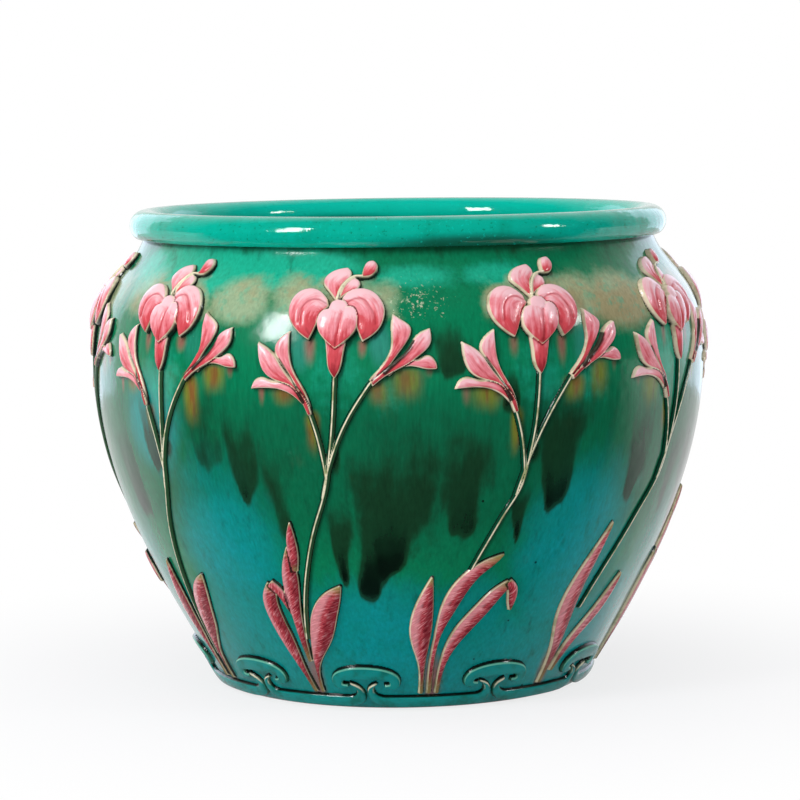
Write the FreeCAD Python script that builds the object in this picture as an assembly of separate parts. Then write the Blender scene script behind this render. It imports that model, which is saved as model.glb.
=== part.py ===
"""Glazed earthenware flower pot: a round bellied jardiniere with sprigged relief, in millimetres.

The pot stands on +Z, with its axis on Z and its foot on the plane z = 0. The pressed wall, the floor disc and
the rolled rim are separate clay pieces. Ten sprays of flowers, two side blossoms, stems and leaves are sprigs
that seat on the wall, and ten scroll caps with the straps between them run round the foot.
"""

import FreeCAD
import Part
import math
import os

Vector = FreeCAD.Vector

# Driving dimensions of the pot
belly_diameter = 400.0
belly_height = 213.0
foot_diameter = 240.0
foot_rounding = 4.0
neck_diameter = 335.0
neck_height = 293.0
wall = 12.0
floor_thickness = 13.0
floor_recess = 4.0
floor_diameter = 206.0
rim_roll_radius = 10.2
rim_roll_diameter = 332.0
rim_roll_sunk = 2.0

# Clay left behind a sprig before it is cut to the wall, and how far a cutting shape runs past what it cuts
sprig_sink = 1.6
overrun = 20.0

# Sprays round the pot
spray_count = 10
spray_height = 234.0
flower_width = 58.0
flower_height = 71.0
flower_relief = 6.5
blossom_length = 52.0
blossom_relief = 5.0
right_blossom_share = 0.93
left_blossom_across = -15.0
left_blossom_drop = 23.0
right_blossom_across = 20.7
right_blossom_drop = 4.0
petal_edge = 1.1

# Stems and leaves
stem_width = 3.2
stem_relief = 2.0
stem_join_across = -8.5
stem_join_drop = 69.0
left_join_rise = 7.0
right_join_rise = -6.0
leaf_length = 88.0
leaf_relief = 3.4
tuft_height = 13.5

# Scroll caps and straps round the foot
cap_width = 44.0
cap_height = 35.5
cap_relief = 3.6
strap_height = 10.0
strap_relief = 3.4
strap_edge = 0.9

# The wall above the belly: share of the way from belly to neck, share of the belly's extra radius left there
shoulder_shares = [(0.29, 0.945), (0.54, 0.760), (0.80, 0.285)]
lower_wall_shares = [0.0, 0.12, 0.28, 0.46, 0.64, 0.82, 1.0]
neck_lean_share = -0.30
inner_wall_shares = [0.03, 0.12, 0.25, 0.4, 0.55, 0.7, 0.8, 0.87, 0.93, 1.0]

# Tops of the sprigs' sections, from edge to edge: side share of the half width, rise share of the crest
petal_top_shares = [(-0.62, 0.74), (0.0, 1.0), (0.62, 0.74)]
leaf_top_shares = [(0.0, 1.0)]
stem_top_shares = [(-0.55, 1.0), (0.55, 1.0)]
band_top_shares = [(-0.6, 0.85), (0.0, 1.0), (0.6, 0.85)]

# Relief tables. Each row is a station on the spine of one petal, leaf or stem, from root to tip:
# across and half widths to the left and right as shares of the sprig's width, along as a share of its height,
# then the height of the crest as a share of the sprig's relief.
back_petal_shares = [
    (0.00, 0.63, 0.07, 0.07, 0.40),
    (0.00, 0.74, 0.13, 0.14, 0.50),
    (0.00, 0.84, 0.19, 0.18, 0.55),
    (0.00, 0.93, 0.14, 0.10, 0.50),
    (0.01, 1.00, 0.02, 0.02, 0.25),
]
left_wing_shares = [
    (-0.07, 0.655, 0.05, 0.05, 0.45),
    (-0.17, 0.690, 0.10, 0.08, 0.75),
    (-0.29, 0.650, 0.15, 0.10, 0.85),
    (-0.35, 0.525, 0.15, 0.11, 0.80),
    (-0.33, 0.415, 0.10, 0.08, 0.70),
    (-0.27, 0.315, 0.008, 0.008, 0.40),
]
left_heart_shares = [
    (-0.05, 0.635, 0.05, 0.05, 0.60),
    (-0.08, 0.565, 0.11, 0.10, 0.95),
    (-0.09, 0.465, 0.12, 0.11, 1.00),
    (-0.06, 0.355, 0.09, 0.08, 0.95),
    (-0.01, 0.245, 0.008, 0.008, 0.75),
]
right_heart_shares = [
    (0.13, 0.605, 0.04, 0.05, 0.60),
    (0.13, 0.545, 0.08, 0.09, 0.90),
    (0.12, 0.450, 0.09, 0.10, 0.95),
    (0.07, 0.345, 0.07, 0.08, 0.90),
    (0.00, 0.245, 0.008, 0.008, 0.75),
]
tube_shares = [
    (0.005, 0.40, 0.125, 0.125, 0.70),
    (0.000, 0.26, 0.105, 0.105, 0.68),
    (-0.005, 0.15, 0.085, 0.085, 0.62),
    (-0.010, 0.04, 0.058, 0.058, 0.55),
    (-0.014, 0.00, 0.025, 0.025, 0.40),
]
bud_stalk_shares = [
    (-0.02, 0.66, 0.020, 0.020, 0.66),
    (0.01, 0.79, 0.020, 0.020, 0.74),
    (0.08, 0.88, 0.018, 0.018, 0.66),
    (0.20, 0.90, 0.018, 0.018, 0.36),
]
bud_shares = [
    (0.190, 0.890, 0.020, 0.020, 0.40),
    (0.240, 0.945, 0.060, 0.060, 0.62),
    (0.280, 1.000, 0.085, 0.085, 0.72),
    (0.315, 1.055, 0.055, 0.055, 0.62),
    (0.330, 1.075, 0.010, 0.010, 0.35),
]

# The two side blossoms, as shares of their lengths, from the ends of their stems
left_middle_shares = [
    (0.00, 0.00, 0.035, 0.035, 0.50),
    (-0.08, 0.20, 0.062, 0.062, 0.75),
    (-0.21, 0.37, 0.075, 0.075, 0.90),
    (-0.36, 0.50, 0.100, 0.095, 1.00),
    (-0.51, 0.63, 0.125, 0.120, 0.95),
    (-0.60, 0.75, 0.065, 0.065, 0.75),
    (-0.645, 0.845, 0.008, 0.008, 0.40),
]
left_upper_shares = [
    (-0.07, 0.24, 0.045, 0.045, 0.55),
    (-0.17, 0.47, 0.065, 0.070, 0.65),
    (-0.25, 0.67, 0.085, 0.095, 0.65),
    (-0.29, 0.82, 0.070, 0.080, 0.60),
    (-0.25, 0.97, 0.008, 0.008, 0.35),
]
left_outer_shares = [
    (-0.10, 0.24, 0.035, 0.035, 0.50),
    (-0.27, 0.31, 0.050, 0.050, 0.60),
    (-0.45, 0.355, 0.058, 0.058, 0.65),
    (-0.60, 0.370, 0.060, 0.055, 0.60),
    (-0.735, 0.31, 0.008, 0.008, 0.35),
]
right_middle_shares = [
    (0.00, 0.00, 0.035, 0.035, 0.50),
    (0.217, 0.165, 0.050, 0.050, 0.75),
    (0.413, 0.285, 0.068, 0.068, 0.90),
    (0.552, 0.400, 0.085, 0.085, 1.00),
    (0.670, 0.556, 0.100, 0.100, 0.90),
    (0.742, 0.688, 0.008, 0.008, 0.40),
]
right_upper_shares = [
    (0.03, 0.04, 0.040, 0.040, 0.50),
    (0.20, 0.223, 0.050, 0.050, 0.60),
    (0.32, 0.428, 0.066, 0.066, 0.66),
    (0.372, 0.610, 0.112, 0.112, 0.68),
    (0.370, 0.740, 0.098, 0.098, 0.60),
    (0.277, 0.876, 0.008, 0.008, 0.35),
]
right_outer_shares = [
    (0.248, 0.140, 0.030, 0.030, 0.50),
    (0.366, 0.227, 0.036, 0.036, 0.58),
    (0.523, 0.269, 0.046, 0.046, 0.62),
    (0.700, 0.270, 0.072, 0.072, 0.62),
    (0.790, 0.236, 0.042, 0.042, 0.50),
    (0.843, 0.190, 0.008, 0.008, 0.35),
]
left_blossom_tables = [left_middle_shares, left_upper_shares, left_outer_shares]
right_blossom_tables = [right_middle_shares, right_upper_shares, right_outer_shares]

# Leaves, as shares of the leaf length, from the foot of the tuft: the folded, tall, broad and bent ones
folded_leaf_shares = [
    (-0.02, 0.00, 0.014, 0.014, 0.55),
    (-0.07, 0.20, 0.022, 0.022, 0.65),
    (-0.13, 0.47, 0.048, 0.048, 0.90),
    (-0.18, 0.70, 0.055, 0.055, 1.00),
    (-0.18, 0.86, 0.052, 0.052, 1.00),
    (-0.14, 0.96, 0.035, 0.035, 0.80),
]
folded_tip_shares = [
    (-0.15, 0.97, 0.030, 0.030, 0.95),
    (-0.09, 0.90, 0.032, 0.032, 0.85),
    (-0.055, 0.81, 0.024, 0.024, 0.70),
    (-0.04, 0.71, 0.006, 0.006, 0.45),
]
twisted_leaf_shares = [
    (0.00, 0.28, 0.014, 0.014, 0.55),
    (-0.005, 0.50, 0.026, 0.026, 0.75),
    (0.00, 0.75, 0.040, 0.040, 0.95),
    (0.02, 1.03, 0.056, 0.058, 1.00),
    (0.04, 1.20, 0.030, 0.030, 0.85),
    (0.045, 1.27, 0.006, 0.006, 0.60),
]
twisted_tip_shares = [
    (0.07, 1.08, 0.022, 0.022, 0.75),
    (0.085, 1.20, 0.034, 0.034, 1.00),
    (0.09, 1.33, 0.034, 0.034, 0.95),
    (0.105, 1.47, 0.006, 0.006, 0.50),
]
broad_leaf_shares = [
    (0.03, 0.00, 0.014, 0.014, 0.55),
    (0.045, 0.24, 0.020, 0.020, 0.65),
    (0.13, 0.50, 0.070, 0.075, 0.90),
    (0.22, 0.73, 0.085, 0.080, 1.00),
    (0.31, 0.88, 0.055, 0.050, 0.85),
    (0.38, 0.97, 0.006, 0.006, 0.45),
]
upright_leaf_shares = [
    (-0.07, 0.00, 0.014, 0.014, 0.55),
    (-0.08, 0.27, 0.022, 0.022, 0.65),
    (-0.10, 0.55, 0.070, 0.062, 0.95),
    (-0.09, 0.80, 0.058, 0.055, 1.00),
    (-0.05, 1.04, 0.006, 0.006, 0.45),
]
arched_leaf_shares = [
    (-0.015, 0.00, 0.014, 0.014, 0.55),
    (-0.01, 0.30, 0.016, 0.016, 0.55),
    (0.02, 0.55, 0.022, 0.022, 0.65),
    (0.07, 0.74, 0.048, 0.046, 0.90),
    (0.15, 0.93, 0.058, 0.055, 1.00),
    (0.27, 1.08, 0.046, 0.044, 0.95),
    (0.37, 1.15, 0.032, 0.032, 0.80),
    (0.455, 1.205, 0.006, 0.006, 0.50),
]
bent_leaf_shares = [
    (0.04, 0.00, 0.014, 0.014, 0.55),
    (0.085, 0.34, 0.026, 0.026, 0.70),
    (0.18, 0.56, 0.050, 0.050, 0.95),
    (0.32, 0.75, 0.055, 0.052, 1.00),
    (0.44, 0.90, 0.042, 0.042, 0.90),
    (0.515, 0.965, 0.028, 0.028, 0.75),
]
bent_tip_shares = [
    (0.50, 0.975, 0.028, 0.028, 0.95),
    (0.535, 0.92, 0.034, 0.034, 0.90),
    (0.54, 0.83, 0.030, 0.030, 0.75),
    (0.53, 0.72, 0.006, 0.006, 0.45),
]
tall_leaf_shares = [
    (-0.02, 0.00, 0.014, 0.014, 0.55),
    (-0.01, 0.33, 0.036, 0.036, 0.80),
    (-0.05, 0.63, 0.066, 0.066, 1.00),
    (-0.03, 0.90, 0.062, 0.060, 1.00),
    (0.04, 1.13, 0.040, 0.040, 0.85),
    (0.13, 1.37, 0.006, 0.006, 0.45),
]
slim_leaf_shares = [
    (0.05, 0.10, 0.014, 0.014, 0.55),
    (0.14, 0.37, 0.034, 0.034, 0.80),
    (0.30, 0.60, 0.046, 0.046, 1.00),
    (0.39, 0.76, 0.036, 0.036, 0.85),
    (0.46, 0.91, 0.006, 0.006, 0.45),
]

# A tuft is its leaves, with how far its foot stands from the flower, as a share of the sprays' pitch
tuft_tables = {
    "twisted": [
        folded_leaf_shares,
        folded_tip_shares,
        twisted_leaf_shares,
        twisted_tip_shares,
        broad_leaf_shares,
    ],
    "arched": [upright_leaf_shares, arched_leaf_shares, bent_leaf_shares, bent_tip_shares],
    "tall": [tall_leaf_shares, slim_leaf_shares],
    "plain": [upright_leaf_shares, broad_leaf_shares],
}
tuft_place_shares = {"twisted": -0.365, "arched": -0.475, "tall": -0.50, "plain": -0.35}
spray_tufts = [
    "twisted",
    "arched",
    "tall",
    "twisted",
    "arched",
    "plain",
    "tall",
    "twisted",
    "arched",
    "plain",
]

# Stems: across is a share of the way to the join, along a share of the drop. The main stem's stations are
# shares of its drop to the tuft, which it leaves where it runs into the leaf that takes it on.
flower_stem_shares = [(0.00, -0.02), (0.10, 0.20), (0.30, 0.48), (0.66, 0.78)]
main_stem_shares = [0.0, 0.22, 0.45, 0.68, 0.86, 1.0]
side_stem_shares = [(0.00, 0.00), (0.40, 0.27), (0.76, 0.62), (0.96, 0.92), (1.00, 1.00)]
side_stem_end_share = 0.45
stem_end_shares = {"twisted": 0.72, "arched": 0.46, "tall": 0.62, "plain": 0.88}

# Scroll cap: an arched spine with curled ends. Strap: a low band whose ends turn up into scrolls. The caps
# were set by hand, so each stands a little off its even place, by a share of the sprays' pitch.
cap_place_shares = [0.03, 0.03, -0.04, 0.01, -0.03, 0.03, 0.0, -0.03, 0.04, 0.12]
cap_shares = [
    (-0.26, 0.58, 0.030, 0.030, 0.45),
    (-0.38, 0.58, 0.070, 0.070, 0.80),
    (-0.41, 0.72, 0.085, 0.085, 0.95),
    (-0.27, 0.85, 0.100, 0.110, 1.00),
    (0.00, 0.885, 0.110, 0.125, 1.00),
    (0.27, 0.85, 0.100, 0.110, 1.00),
    (0.41, 0.72, 0.085, 0.085, 0.95),
    (0.38, 0.58, 0.070, 0.070, 0.80),
    (0.26, 0.58, 0.030, 0.030, 0.45),
]
strap_end_shares = [
    (0.085, 0.285, 0.08, 0.08, 0.40),
    (0.040, 0.250, 0.16, 0.16, 0.70),
    (0.032, 0.185, 0.24, 0.24, 0.90),
    (0.070, 0.120, 0.34, 0.34, 1.00),
    (0.160, 0.095, 0.40, 0.40, 1.00),
    (0.300, 0.092, 0.42, 0.42, 1.00),
]

# Derived sizes
belly_radius = belly_diameter / 2
foot_radius = foot_diameter / 2
neck_radius = neck_diameter / 2
floor_radius = floor_diameter / 2
rim_centre_radius = rim_roll_diameter / 2
rim_seat_height = neck_height
rim_centre_height = rim_seat_height + rim_roll_radius - rim_roll_sunk
floor_top = floor_recess + floor_thickness
full_turn = 360.0
pitch = full_turn / spray_count
front = -90.0


def in_profile(radius, height):
    """A point of the pot's half section, in the XZ plane."""
    return Vector(radius, 0, height)


def wall_curve():
    """The outside of the wall: a quarter sine wave from foot to belly, and a shoulder up to the neck."""
    points = []
    for share in lower_wall_shares:
        radius = foot_radius + (belly_radius - foot_radius) * math.sin(share * math.pi / 2)
        points.append(in_profile(radius, belly_height * share))
    for rise, left_over in shoulder_shares:
        radius = neck_radius + (belly_radius - neck_radius) * left_over
        points.append(in_profile(radius, belly_height + (neck_height - belly_height) * rise))
    points.append(in_profile(neck_radius, neck_height))
    start = in_profile((belly_radius - foot_radius) * math.pi / 2, belly_height)
    end = in_profile(neck_lean_share, 1)
    curve = Part.BSplineCurve()
    curve.interpolate(Points=points, InitialTangent=start, FinalTangent=end)
    return curve


OUTSIDE = wall_curve()


def outward(parameter):
    """Unit normal of the wall in the half section, pointing away from the pot's clay."""
    tangent = OUTSIDE.tangent(parameter)[0]
    return Vector(tangent.z, 0, -tangent.x)


def inside_curve():
    """The inside of the wall: the outside set in by the thickness, from the floor's edge to the neck."""
    first, last = OUTSIDE.FirstParameter, OUTSIDE.LastParameter
    points = [in_profile(floor_radius, floor_top)]
    for share in inner_wall_shares:
        parameter = first + (last - first) * share
        point = OUTSIDE.value(parameter) - outward(parameter) * wall
        if point.z > floor_top + wall and point.z < neck_height:
            points.append(point)
    points.append(in_profile(neck_radius - wall, neck_height))
    curve = Part.BSplineCurve()
    curve.interpolate(Points=points)
    return curve


def revolved(edges):
    """A solid turned about the pot's axis from a closed outline in the half section."""
    face = Part.Face(Part.Wire(edges))
    return face.revolve(Vector(0, 0, 0), Vector(0, 0, 1), full_turn)


def straight(start, end):
    return Part.LineSegment(start, end).toShape()


def foot_start():
    """Where the foot's rounding meets the wall's curve, and where it meets the ground."""
    first = OUTSIDE.FirstParameter
    on_wall = OUTSIDE.parameterAtDistance(foot_rounding, first)
    return on_wall, in_profile(foot_radius - foot_rounding, 0)


def lower_edges():
    """Outside outline of the pot from the ground up to the neck."""
    on_wall, on_ground = foot_start()
    rounded = Part.BezierCurve()
    rounded.setPoles([on_ground, in_profile(foot_radius, 0), OUTSIDE.value(on_wall)])
    side = OUTSIDE.toShape(on_wall, OUTSIDE.LastParameter)
    return [rounded.toShape(), side]


def make_body_wall():
    """The pressed wall, open at the top, with a seat for the floor disc and a flat standing ring."""
    ground = foot_start()[1]
    edges = lower_edges()
    neck_outer = in_profile(neck_radius, neck_height)
    neck_inner = in_profile(neck_radius - wall, neck_height)
    seat_top = in_profile(floor_radius, floor_top)
    seat_foot = in_profile(floor_radius, 0)
    edges += [straight(neck_outer, neck_inner), inside_curve().toShape(), straight(seat_top, seat_foot)]
    edges.append(straight(seat_foot, ground))
    return revolved(edges)


def make_floor_disc():
    """The floor, set up from the ground so that the pot stands on its outer ring."""
    return Part.makeCylinder(floor_radius, floor_thickness, in_profile(0, floor_recess))


def make_rim_roll():
    """The rolled lip: a round coil with a flat seat on the neck."""
    roll = Part.makeTorus(rim_centre_radius, rim_roll_radius, in_profile(0, rim_centre_height))
    below_seat = in_profile(0, rim_seat_height - rim_roll_radius)
    seat = Part.makeCylinder(rim_centre_radius + rim_roll_radius + overrun, rim_roll_radius, below_seat)
    return roll.cut(seat)


def make_core():
    """The pot's outline filled to its axis, which the sprigs are cut to."""
    ground = foot_start()[1]
    neck = in_profile(neck_radius, neck_height)
    axis_top = in_profile(0, neck_height)
    axis_foot = in_profile(0, 0)
    edges = lower_edges()
    edges += [straight(neck, axis_top), straight(axis_top, axis_foot), straight(axis_foot, ground)]
    return revolved(edges)


def on_wall(across, along):
    """Point, east, up and outward directions on the wall's front: across is millimetres round the pot from
    the front, along is millimetres up the wall's own curve from the foot."""
    parameter = OUTSIDE.parameterAtDistance(along, OUTSIDE.FirstParameter)
    place = OUTSIDE.value(parameter)
    rise = OUTSIDE.tangent(parameter)[0]
    normal = outward(parameter)
    turn = FreeCAD.Rotation(Vector(0, 0, 1), front + math.degrees(across / place.x))
    east = turn.multVec(Vector(0, 1, 0))
    return turn.multVec(place), east, turn.multVec(rise), turn.multVec(normal)


def section(station, heading, edge, top_shares):
    """One section of a sprig: a flat back sunk in the wall, two low sides and an arched top."""
    across, along, left, right, crest = station
    point, east, up, normal = on_wall(across, along)
    ahead = (east * heading[0] + up * heading[1]).normalize()
    side = ahead.cross(normal)
    low = min(edge, crest / 2)
    back_left = point - side * left - normal * sprig_sink
    back_right = point + side * right - normal * sprig_sink
    corners = [back_left, point - side * left + normal * low]
    for share, rise in top_shares:
        reach = right if share > 0 else left
        corners.append(point + side * (share * reach) + normal * (low + (crest - low) * rise))
    corners += [point + side * right + normal * low, back_right, back_left]
    return Part.makePolygon(corners)


def relief(stations, edge, top_shares):
    """A sprig's solid, lofted through its stations on the wall, before it is cut to its seat."""
    wires = []
    for index, station in enumerate(stations):
        before = stations[max(index - 1, 0)]
        after = stations[min(index + 1, len(stations) - 1)]
        heading = (after[0] - before[0], after[1] - before[1])
        wires.append(section(station, heading, edge, top_shares))
    return Part.makeLoft(wires, True, False)


def placed(shares, width, height, crest, across=0.0, along=0.0, mirror=1):
    """Stations in millimetres from a table of shares, mirrored if asked, then moved to their foot."""
    stations = []
    for side, rise, left, right, top in shares:
        if mirror < 0:
            left, right = right, left
        x, y = across + mirror * side * width, along + rise * height
        stations.append((x, y, left * width, right * width, top * crest))
    return stations


def joined(solids):
    """Pieces of one sprig pressed as one lump of clay."""
    return solids[0].multiFuse(solids[1:]).removeSplitter() if len(solids) > 1 else solids[0]


def make_flower_head():
    """The open flower: back petal, two wings, the heart-shaped lip, its tube, and the bud on its stalk."""
    tables = [back_petal_shares, left_wing_shares, left_heart_shares, right_heart_shares, tube_shares]
    tables += [bud_stalk_shares, bud_shares]
    lumps = []
    for table in tables:
        stations = placed(table, flower_width, flower_height, flower_relief, along=spray_height)
        lumps.append(relief(stations, petal_edge, petal_top_shares))
    wing = placed(left_wing_shares, flower_width, flower_height, flower_relief, along=spray_height, mirror=-1)
    lumps.append(relief(wing, petal_edge, petal_top_shares))
    return joined(lumps)


def make_blossom(tables, length, across, drop):
    """A half-open side blossom: a trumpet with a middle, an upper and an outer petal."""
    lumps = []
    for table in tables:
        stations = placed(table, length, length, blossom_relief, across, spray_height - drop)
        lumps.append(relief(stations, petal_edge, petal_top_shares))
    return joined(lumps)


def thread(points, end_share=1.0):
    """A stem of even width along the points, drawn in at its last point to an end share of its width."""
    half = stem_width / 2
    stations = [(across, along, half, half, stem_relief) for across, along in points]
    across, along = points[-1]
    stations[-1] = (across, along, half * end_share, half * end_share, stem_relief * end_share)
    return relief(stations, stem_relief / 3, stem_top_shares)


def tuft_across(kind, along):
    """How far a tuft's foot stands from the flower's line, in millimetres at a height on the wall."""
    radius = OUTSIDE.value(OUTSIDE.parameterAtDistance(along, OUTSIDE.FirstParameter)).x
    return math.radians(tuft_place_shares[kind] * pitch) * radius


def way_across(points, along):
    """Where a stem is across the wall at a height, on the straight way between its points."""
    for above, below in zip(points, points[1:]):
        if above[1] >= along >= below[1]:
            return above[0] + (below[0] - above[0]) * (above[1] - along) / (above[1] - below[1])
    return points[-1][0]


def make_stems(kind):
    """The stem from the flower's tube down to the tuft, and the two side stems that run into it."""
    join_along = spray_height - stem_join_drop
    main_points = []
    for ease, drop in flower_stem_shares:
        main_points.append((stem_join_across * ease, spray_height - stem_join_drop * drop))
    for share in main_stem_shares:
        drop = share * stem_end_shares[kind]
        ease = math.sin(drop * math.pi / 2)
        along = join_along + (tuft_height - join_along) * drop
        main_points.append((stem_join_across + (tuft_across(kind, along) - stem_join_across) * ease, along))
    lumps = [thread(main_points)]
    sides = [
        (left_blossom_across, spray_height - left_blossom_drop, left_join_rise),
        (right_blossom_across, spray_height - right_blossom_drop, right_join_rise),
    ]
    for across, along, rise in sides:
        end_along = join_along + rise
        end_across = way_across(main_points, end_along)
        points = []
        for ease, drop in side_stem_shares:
            points.append((across + (end_across - across) * ease, along + (end_along - along) * drop))
        lumps.append(thread(points, side_stem_end_share))
    return joined(lumps)


def make_leaf_tuft(kind):
    """The leaves that spring from the foot of a spray."""
    lumps = []
    for table in tuft_tables[kind]:
        stations = placed(table, leaf_length, leaf_length, leaf_relief, 0.0, tuft_height)
        bent = []
        for across, along, left, right, crest in stations:
            bent.append((across + tuft_across(kind, along), along, left, right, crest))
        lumps.append(relief(bent, petal_edge, leaf_top_shares))
    return joined(lumps)


def make_scroll_cap():
    """A kidney-shaped cap with curled ends, above the meeting of two straps."""
    return relief(placed(cap_shares, cap_width, cap_height, cap_relief), strap_edge, band_top_shares)


def make_strap(angle):
    """A band along the foot, over an angle from one scroll cap to the next, with its two ends turned up."""
    radius = OUTSIDE.value(OUTSIDE.parameterAtDistance(strap_height, OUTSIDE.FirstParameter)).x
    length = math.radians(angle) * radius
    end_length = math.radians(pitch) * radius
    half_ends = []
    for side, rise, left, right, top in strap_end_shares:
        across, along = side * end_length, rise * end_length
        half_ends.append((across, along, left * strap_height, right * strap_height, top * strap_relief))
    far_end = []
    for across, along, left, right, crest in reversed(half_ends):
        far_end.append((length - across, along, right, left, crest))
    return relief(half_ends + far_end, strap_edge, band_top_shares)


def turned(shape, angle):
    copy = shape.copy()
    copy.rotate(Vector(0, 0, 0), Vector(0, 0, 1), angle)
    return copy


def seated(shape, *neighbours):
    """A sprig cut to the wall and to the sprigs that were laid before it."""
    for neighbour in neighbours:
        shape = shape.cut(neighbour)
    return shape


def make_parts():
    """Every node by name, each sprig made once and turned to its places round the pot."""
    core = make_core()
    parts = {"body_wall": make_body_wall(), "floor_disc": make_floor_disc(), "rim_roll": make_rim_roll()}
    cap = seated(make_scroll_cap(), core)
    cap_places = []
    for index in range(spray_count):
        cap_places.append(pitch * (index + cap_place_shares[index % len(cap_place_shares)]))
    straps = []
    for index, place in enumerate(cap_places):
        span = (cap_places[(index + 1) % spray_count] - place) % full_turn
        strap = seated(make_strap(span), core, cap, turned(cap, span))
        straps.append(turned(strap, place))
    flower = seated(make_flower_head(), core)
    left = make_blossom(left_blossom_tables, blossom_length, left_blossom_across, left_blossom_drop)
    left = seated(left, core, flower)
    right_length = blossom_length * right_blossom_share
    right = make_blossom(right_blossom_tables, right_length, right_blossom_across, right_blossom_drop)
    right = seated(right, core, flower)
    tufts, stems = {}, {}
    for kind in tuft_tables:
        tufts[kind] = seated(make_leaf_tuft(kind), core)
        stems[kind] = seated(make_stems(kind), core, flower, left, right, tufts[kind])
    parts["foot_straps"] = Part.makeCompound(straps)
    for index in range(spray_count):
        kind = spray_tufts[index % len(spray_tufts)]
        place = pitch * index
        label = f"{index + 1:02d}"
        parts["scroll_cap_" + label] = turned(cap, cap_places[index])
        parts["flower_head_" + label] = turned(flower, place)
        parts["side_blossoms_" + label] = Part.makeCompound([turned(left, place), turned(right, place)])
        parts["leaf_tuft_" + label] = turned(tufts[kind], place)
        parts["stems_" + label] = turned(stems[kind], place)
    return parts


def main():
    os.makedirs("parts", exist_ok=True)
    for name, shape in make_parts().items():
        shape.exportStep(f"parts/{name}.step")
        print(name, "solids", [round(solid.Volume, 1) for solid in shape.Solids], "valid", shape.isValid())


main()
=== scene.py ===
"""Looks of a glazed earthenware flower pot with sprigged flowers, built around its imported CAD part.

The wall, the lip and the floor are turned about the pot's axis. The sprigs are pressed reliefs: each is
a fine grid laid on the wall and raised by a height field made from the outlines of its petals, leaves
or bands.
"""

import math

import bpy
import numpy as np
from mathutils import Matrix


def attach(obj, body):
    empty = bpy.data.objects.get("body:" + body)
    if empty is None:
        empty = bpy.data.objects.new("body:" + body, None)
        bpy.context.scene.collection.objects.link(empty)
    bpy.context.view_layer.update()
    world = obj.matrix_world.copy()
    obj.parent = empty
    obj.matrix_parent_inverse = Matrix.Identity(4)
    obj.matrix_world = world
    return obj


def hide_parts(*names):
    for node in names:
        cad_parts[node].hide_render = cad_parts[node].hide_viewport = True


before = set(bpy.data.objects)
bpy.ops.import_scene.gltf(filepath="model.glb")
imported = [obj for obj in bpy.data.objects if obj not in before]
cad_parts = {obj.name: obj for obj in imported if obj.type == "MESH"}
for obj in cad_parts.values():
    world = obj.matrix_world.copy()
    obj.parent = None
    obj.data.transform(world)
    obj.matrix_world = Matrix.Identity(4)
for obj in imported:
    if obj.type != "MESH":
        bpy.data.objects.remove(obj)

bl_info = {
    "name": "Glazed flower pot",
    "version": (1, 0, 0),
    "blender": (4, 5, 0),
    "location": "3D View > Sidebar > Flower pot",
    "description": "Builds the looks of a glazed flower pot with flowers in relief",
    "category": "Object",
}

MM = 0.001


def linear(code):
    """Linear colour with alpha from a hex sRGB code."""
    channels = [int(code[start : start + 2], 16) / 255 for start in (1, 3, 5)]
    return tuple(c / 12.92 if c <= 0.04045 else ((c + 0.055) / 1.055) ** 2.4 for c in channels) + (1.0,)


def length(name, description, default):
    return bpy.props.FloatProperty(name=name, description=description, default=default, unit="LENGTH")


def angle(name, description, degrees):
    turn = math.radians(degrees)
    return bpy.props.FloatProperty(name=name, description=description, default=turn, subtype="ANGLE")


def colour(name, description, code):
    return bpy.props.FloatVectorProperty(
        name=name, description=description, default=linear(code), size=4, subtype="COLOR", min=0.0, max=1.0
    )


class PotSizes(bpy.types.PropertyGroup):
    """Sizes of the wall, the lip and the floor."""

    belly_diameter: length("Belly diameter", "Widest outside diameter of the wall", 0.400)
    belly_height: length("Belly height", "Height of the widest place", 0.213)
    foot_diameter: length("Foot diameter", "Outside diameter at the ground", 0.240)
    foot_rounding: length("Foot rounding", "Rounding of the foot's outer edge", 0.004)
    neck_diameter: length("Neck diameter", "Outside diameter under the lip", 0.335)
    neck_height: length("Neck height", "Height at which the lip is seated", 0.293)
    wall: length("Wall", "Thickness of the wall", 0.012)
    floor_thickness: length("Floor thickness", "Thickness of the floor disc", 0.013)
    floor_recess: length("Floor recess", "Height of the floor's underside", 0.004)
    floor_diameter: length("Floor diameter", "Diameter of the floor disc", 0.206)
    roll_radius: length("Roll radius", "Radius of the rolled lip's section", 0.0102)
    roll_diameter: length("Roll diameter", "Diameter of the rolled lip's centre line", 0.332)
    roll_sunk: length("Roll sunk", "How far the roll is let into the neck", 0.002)


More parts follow.
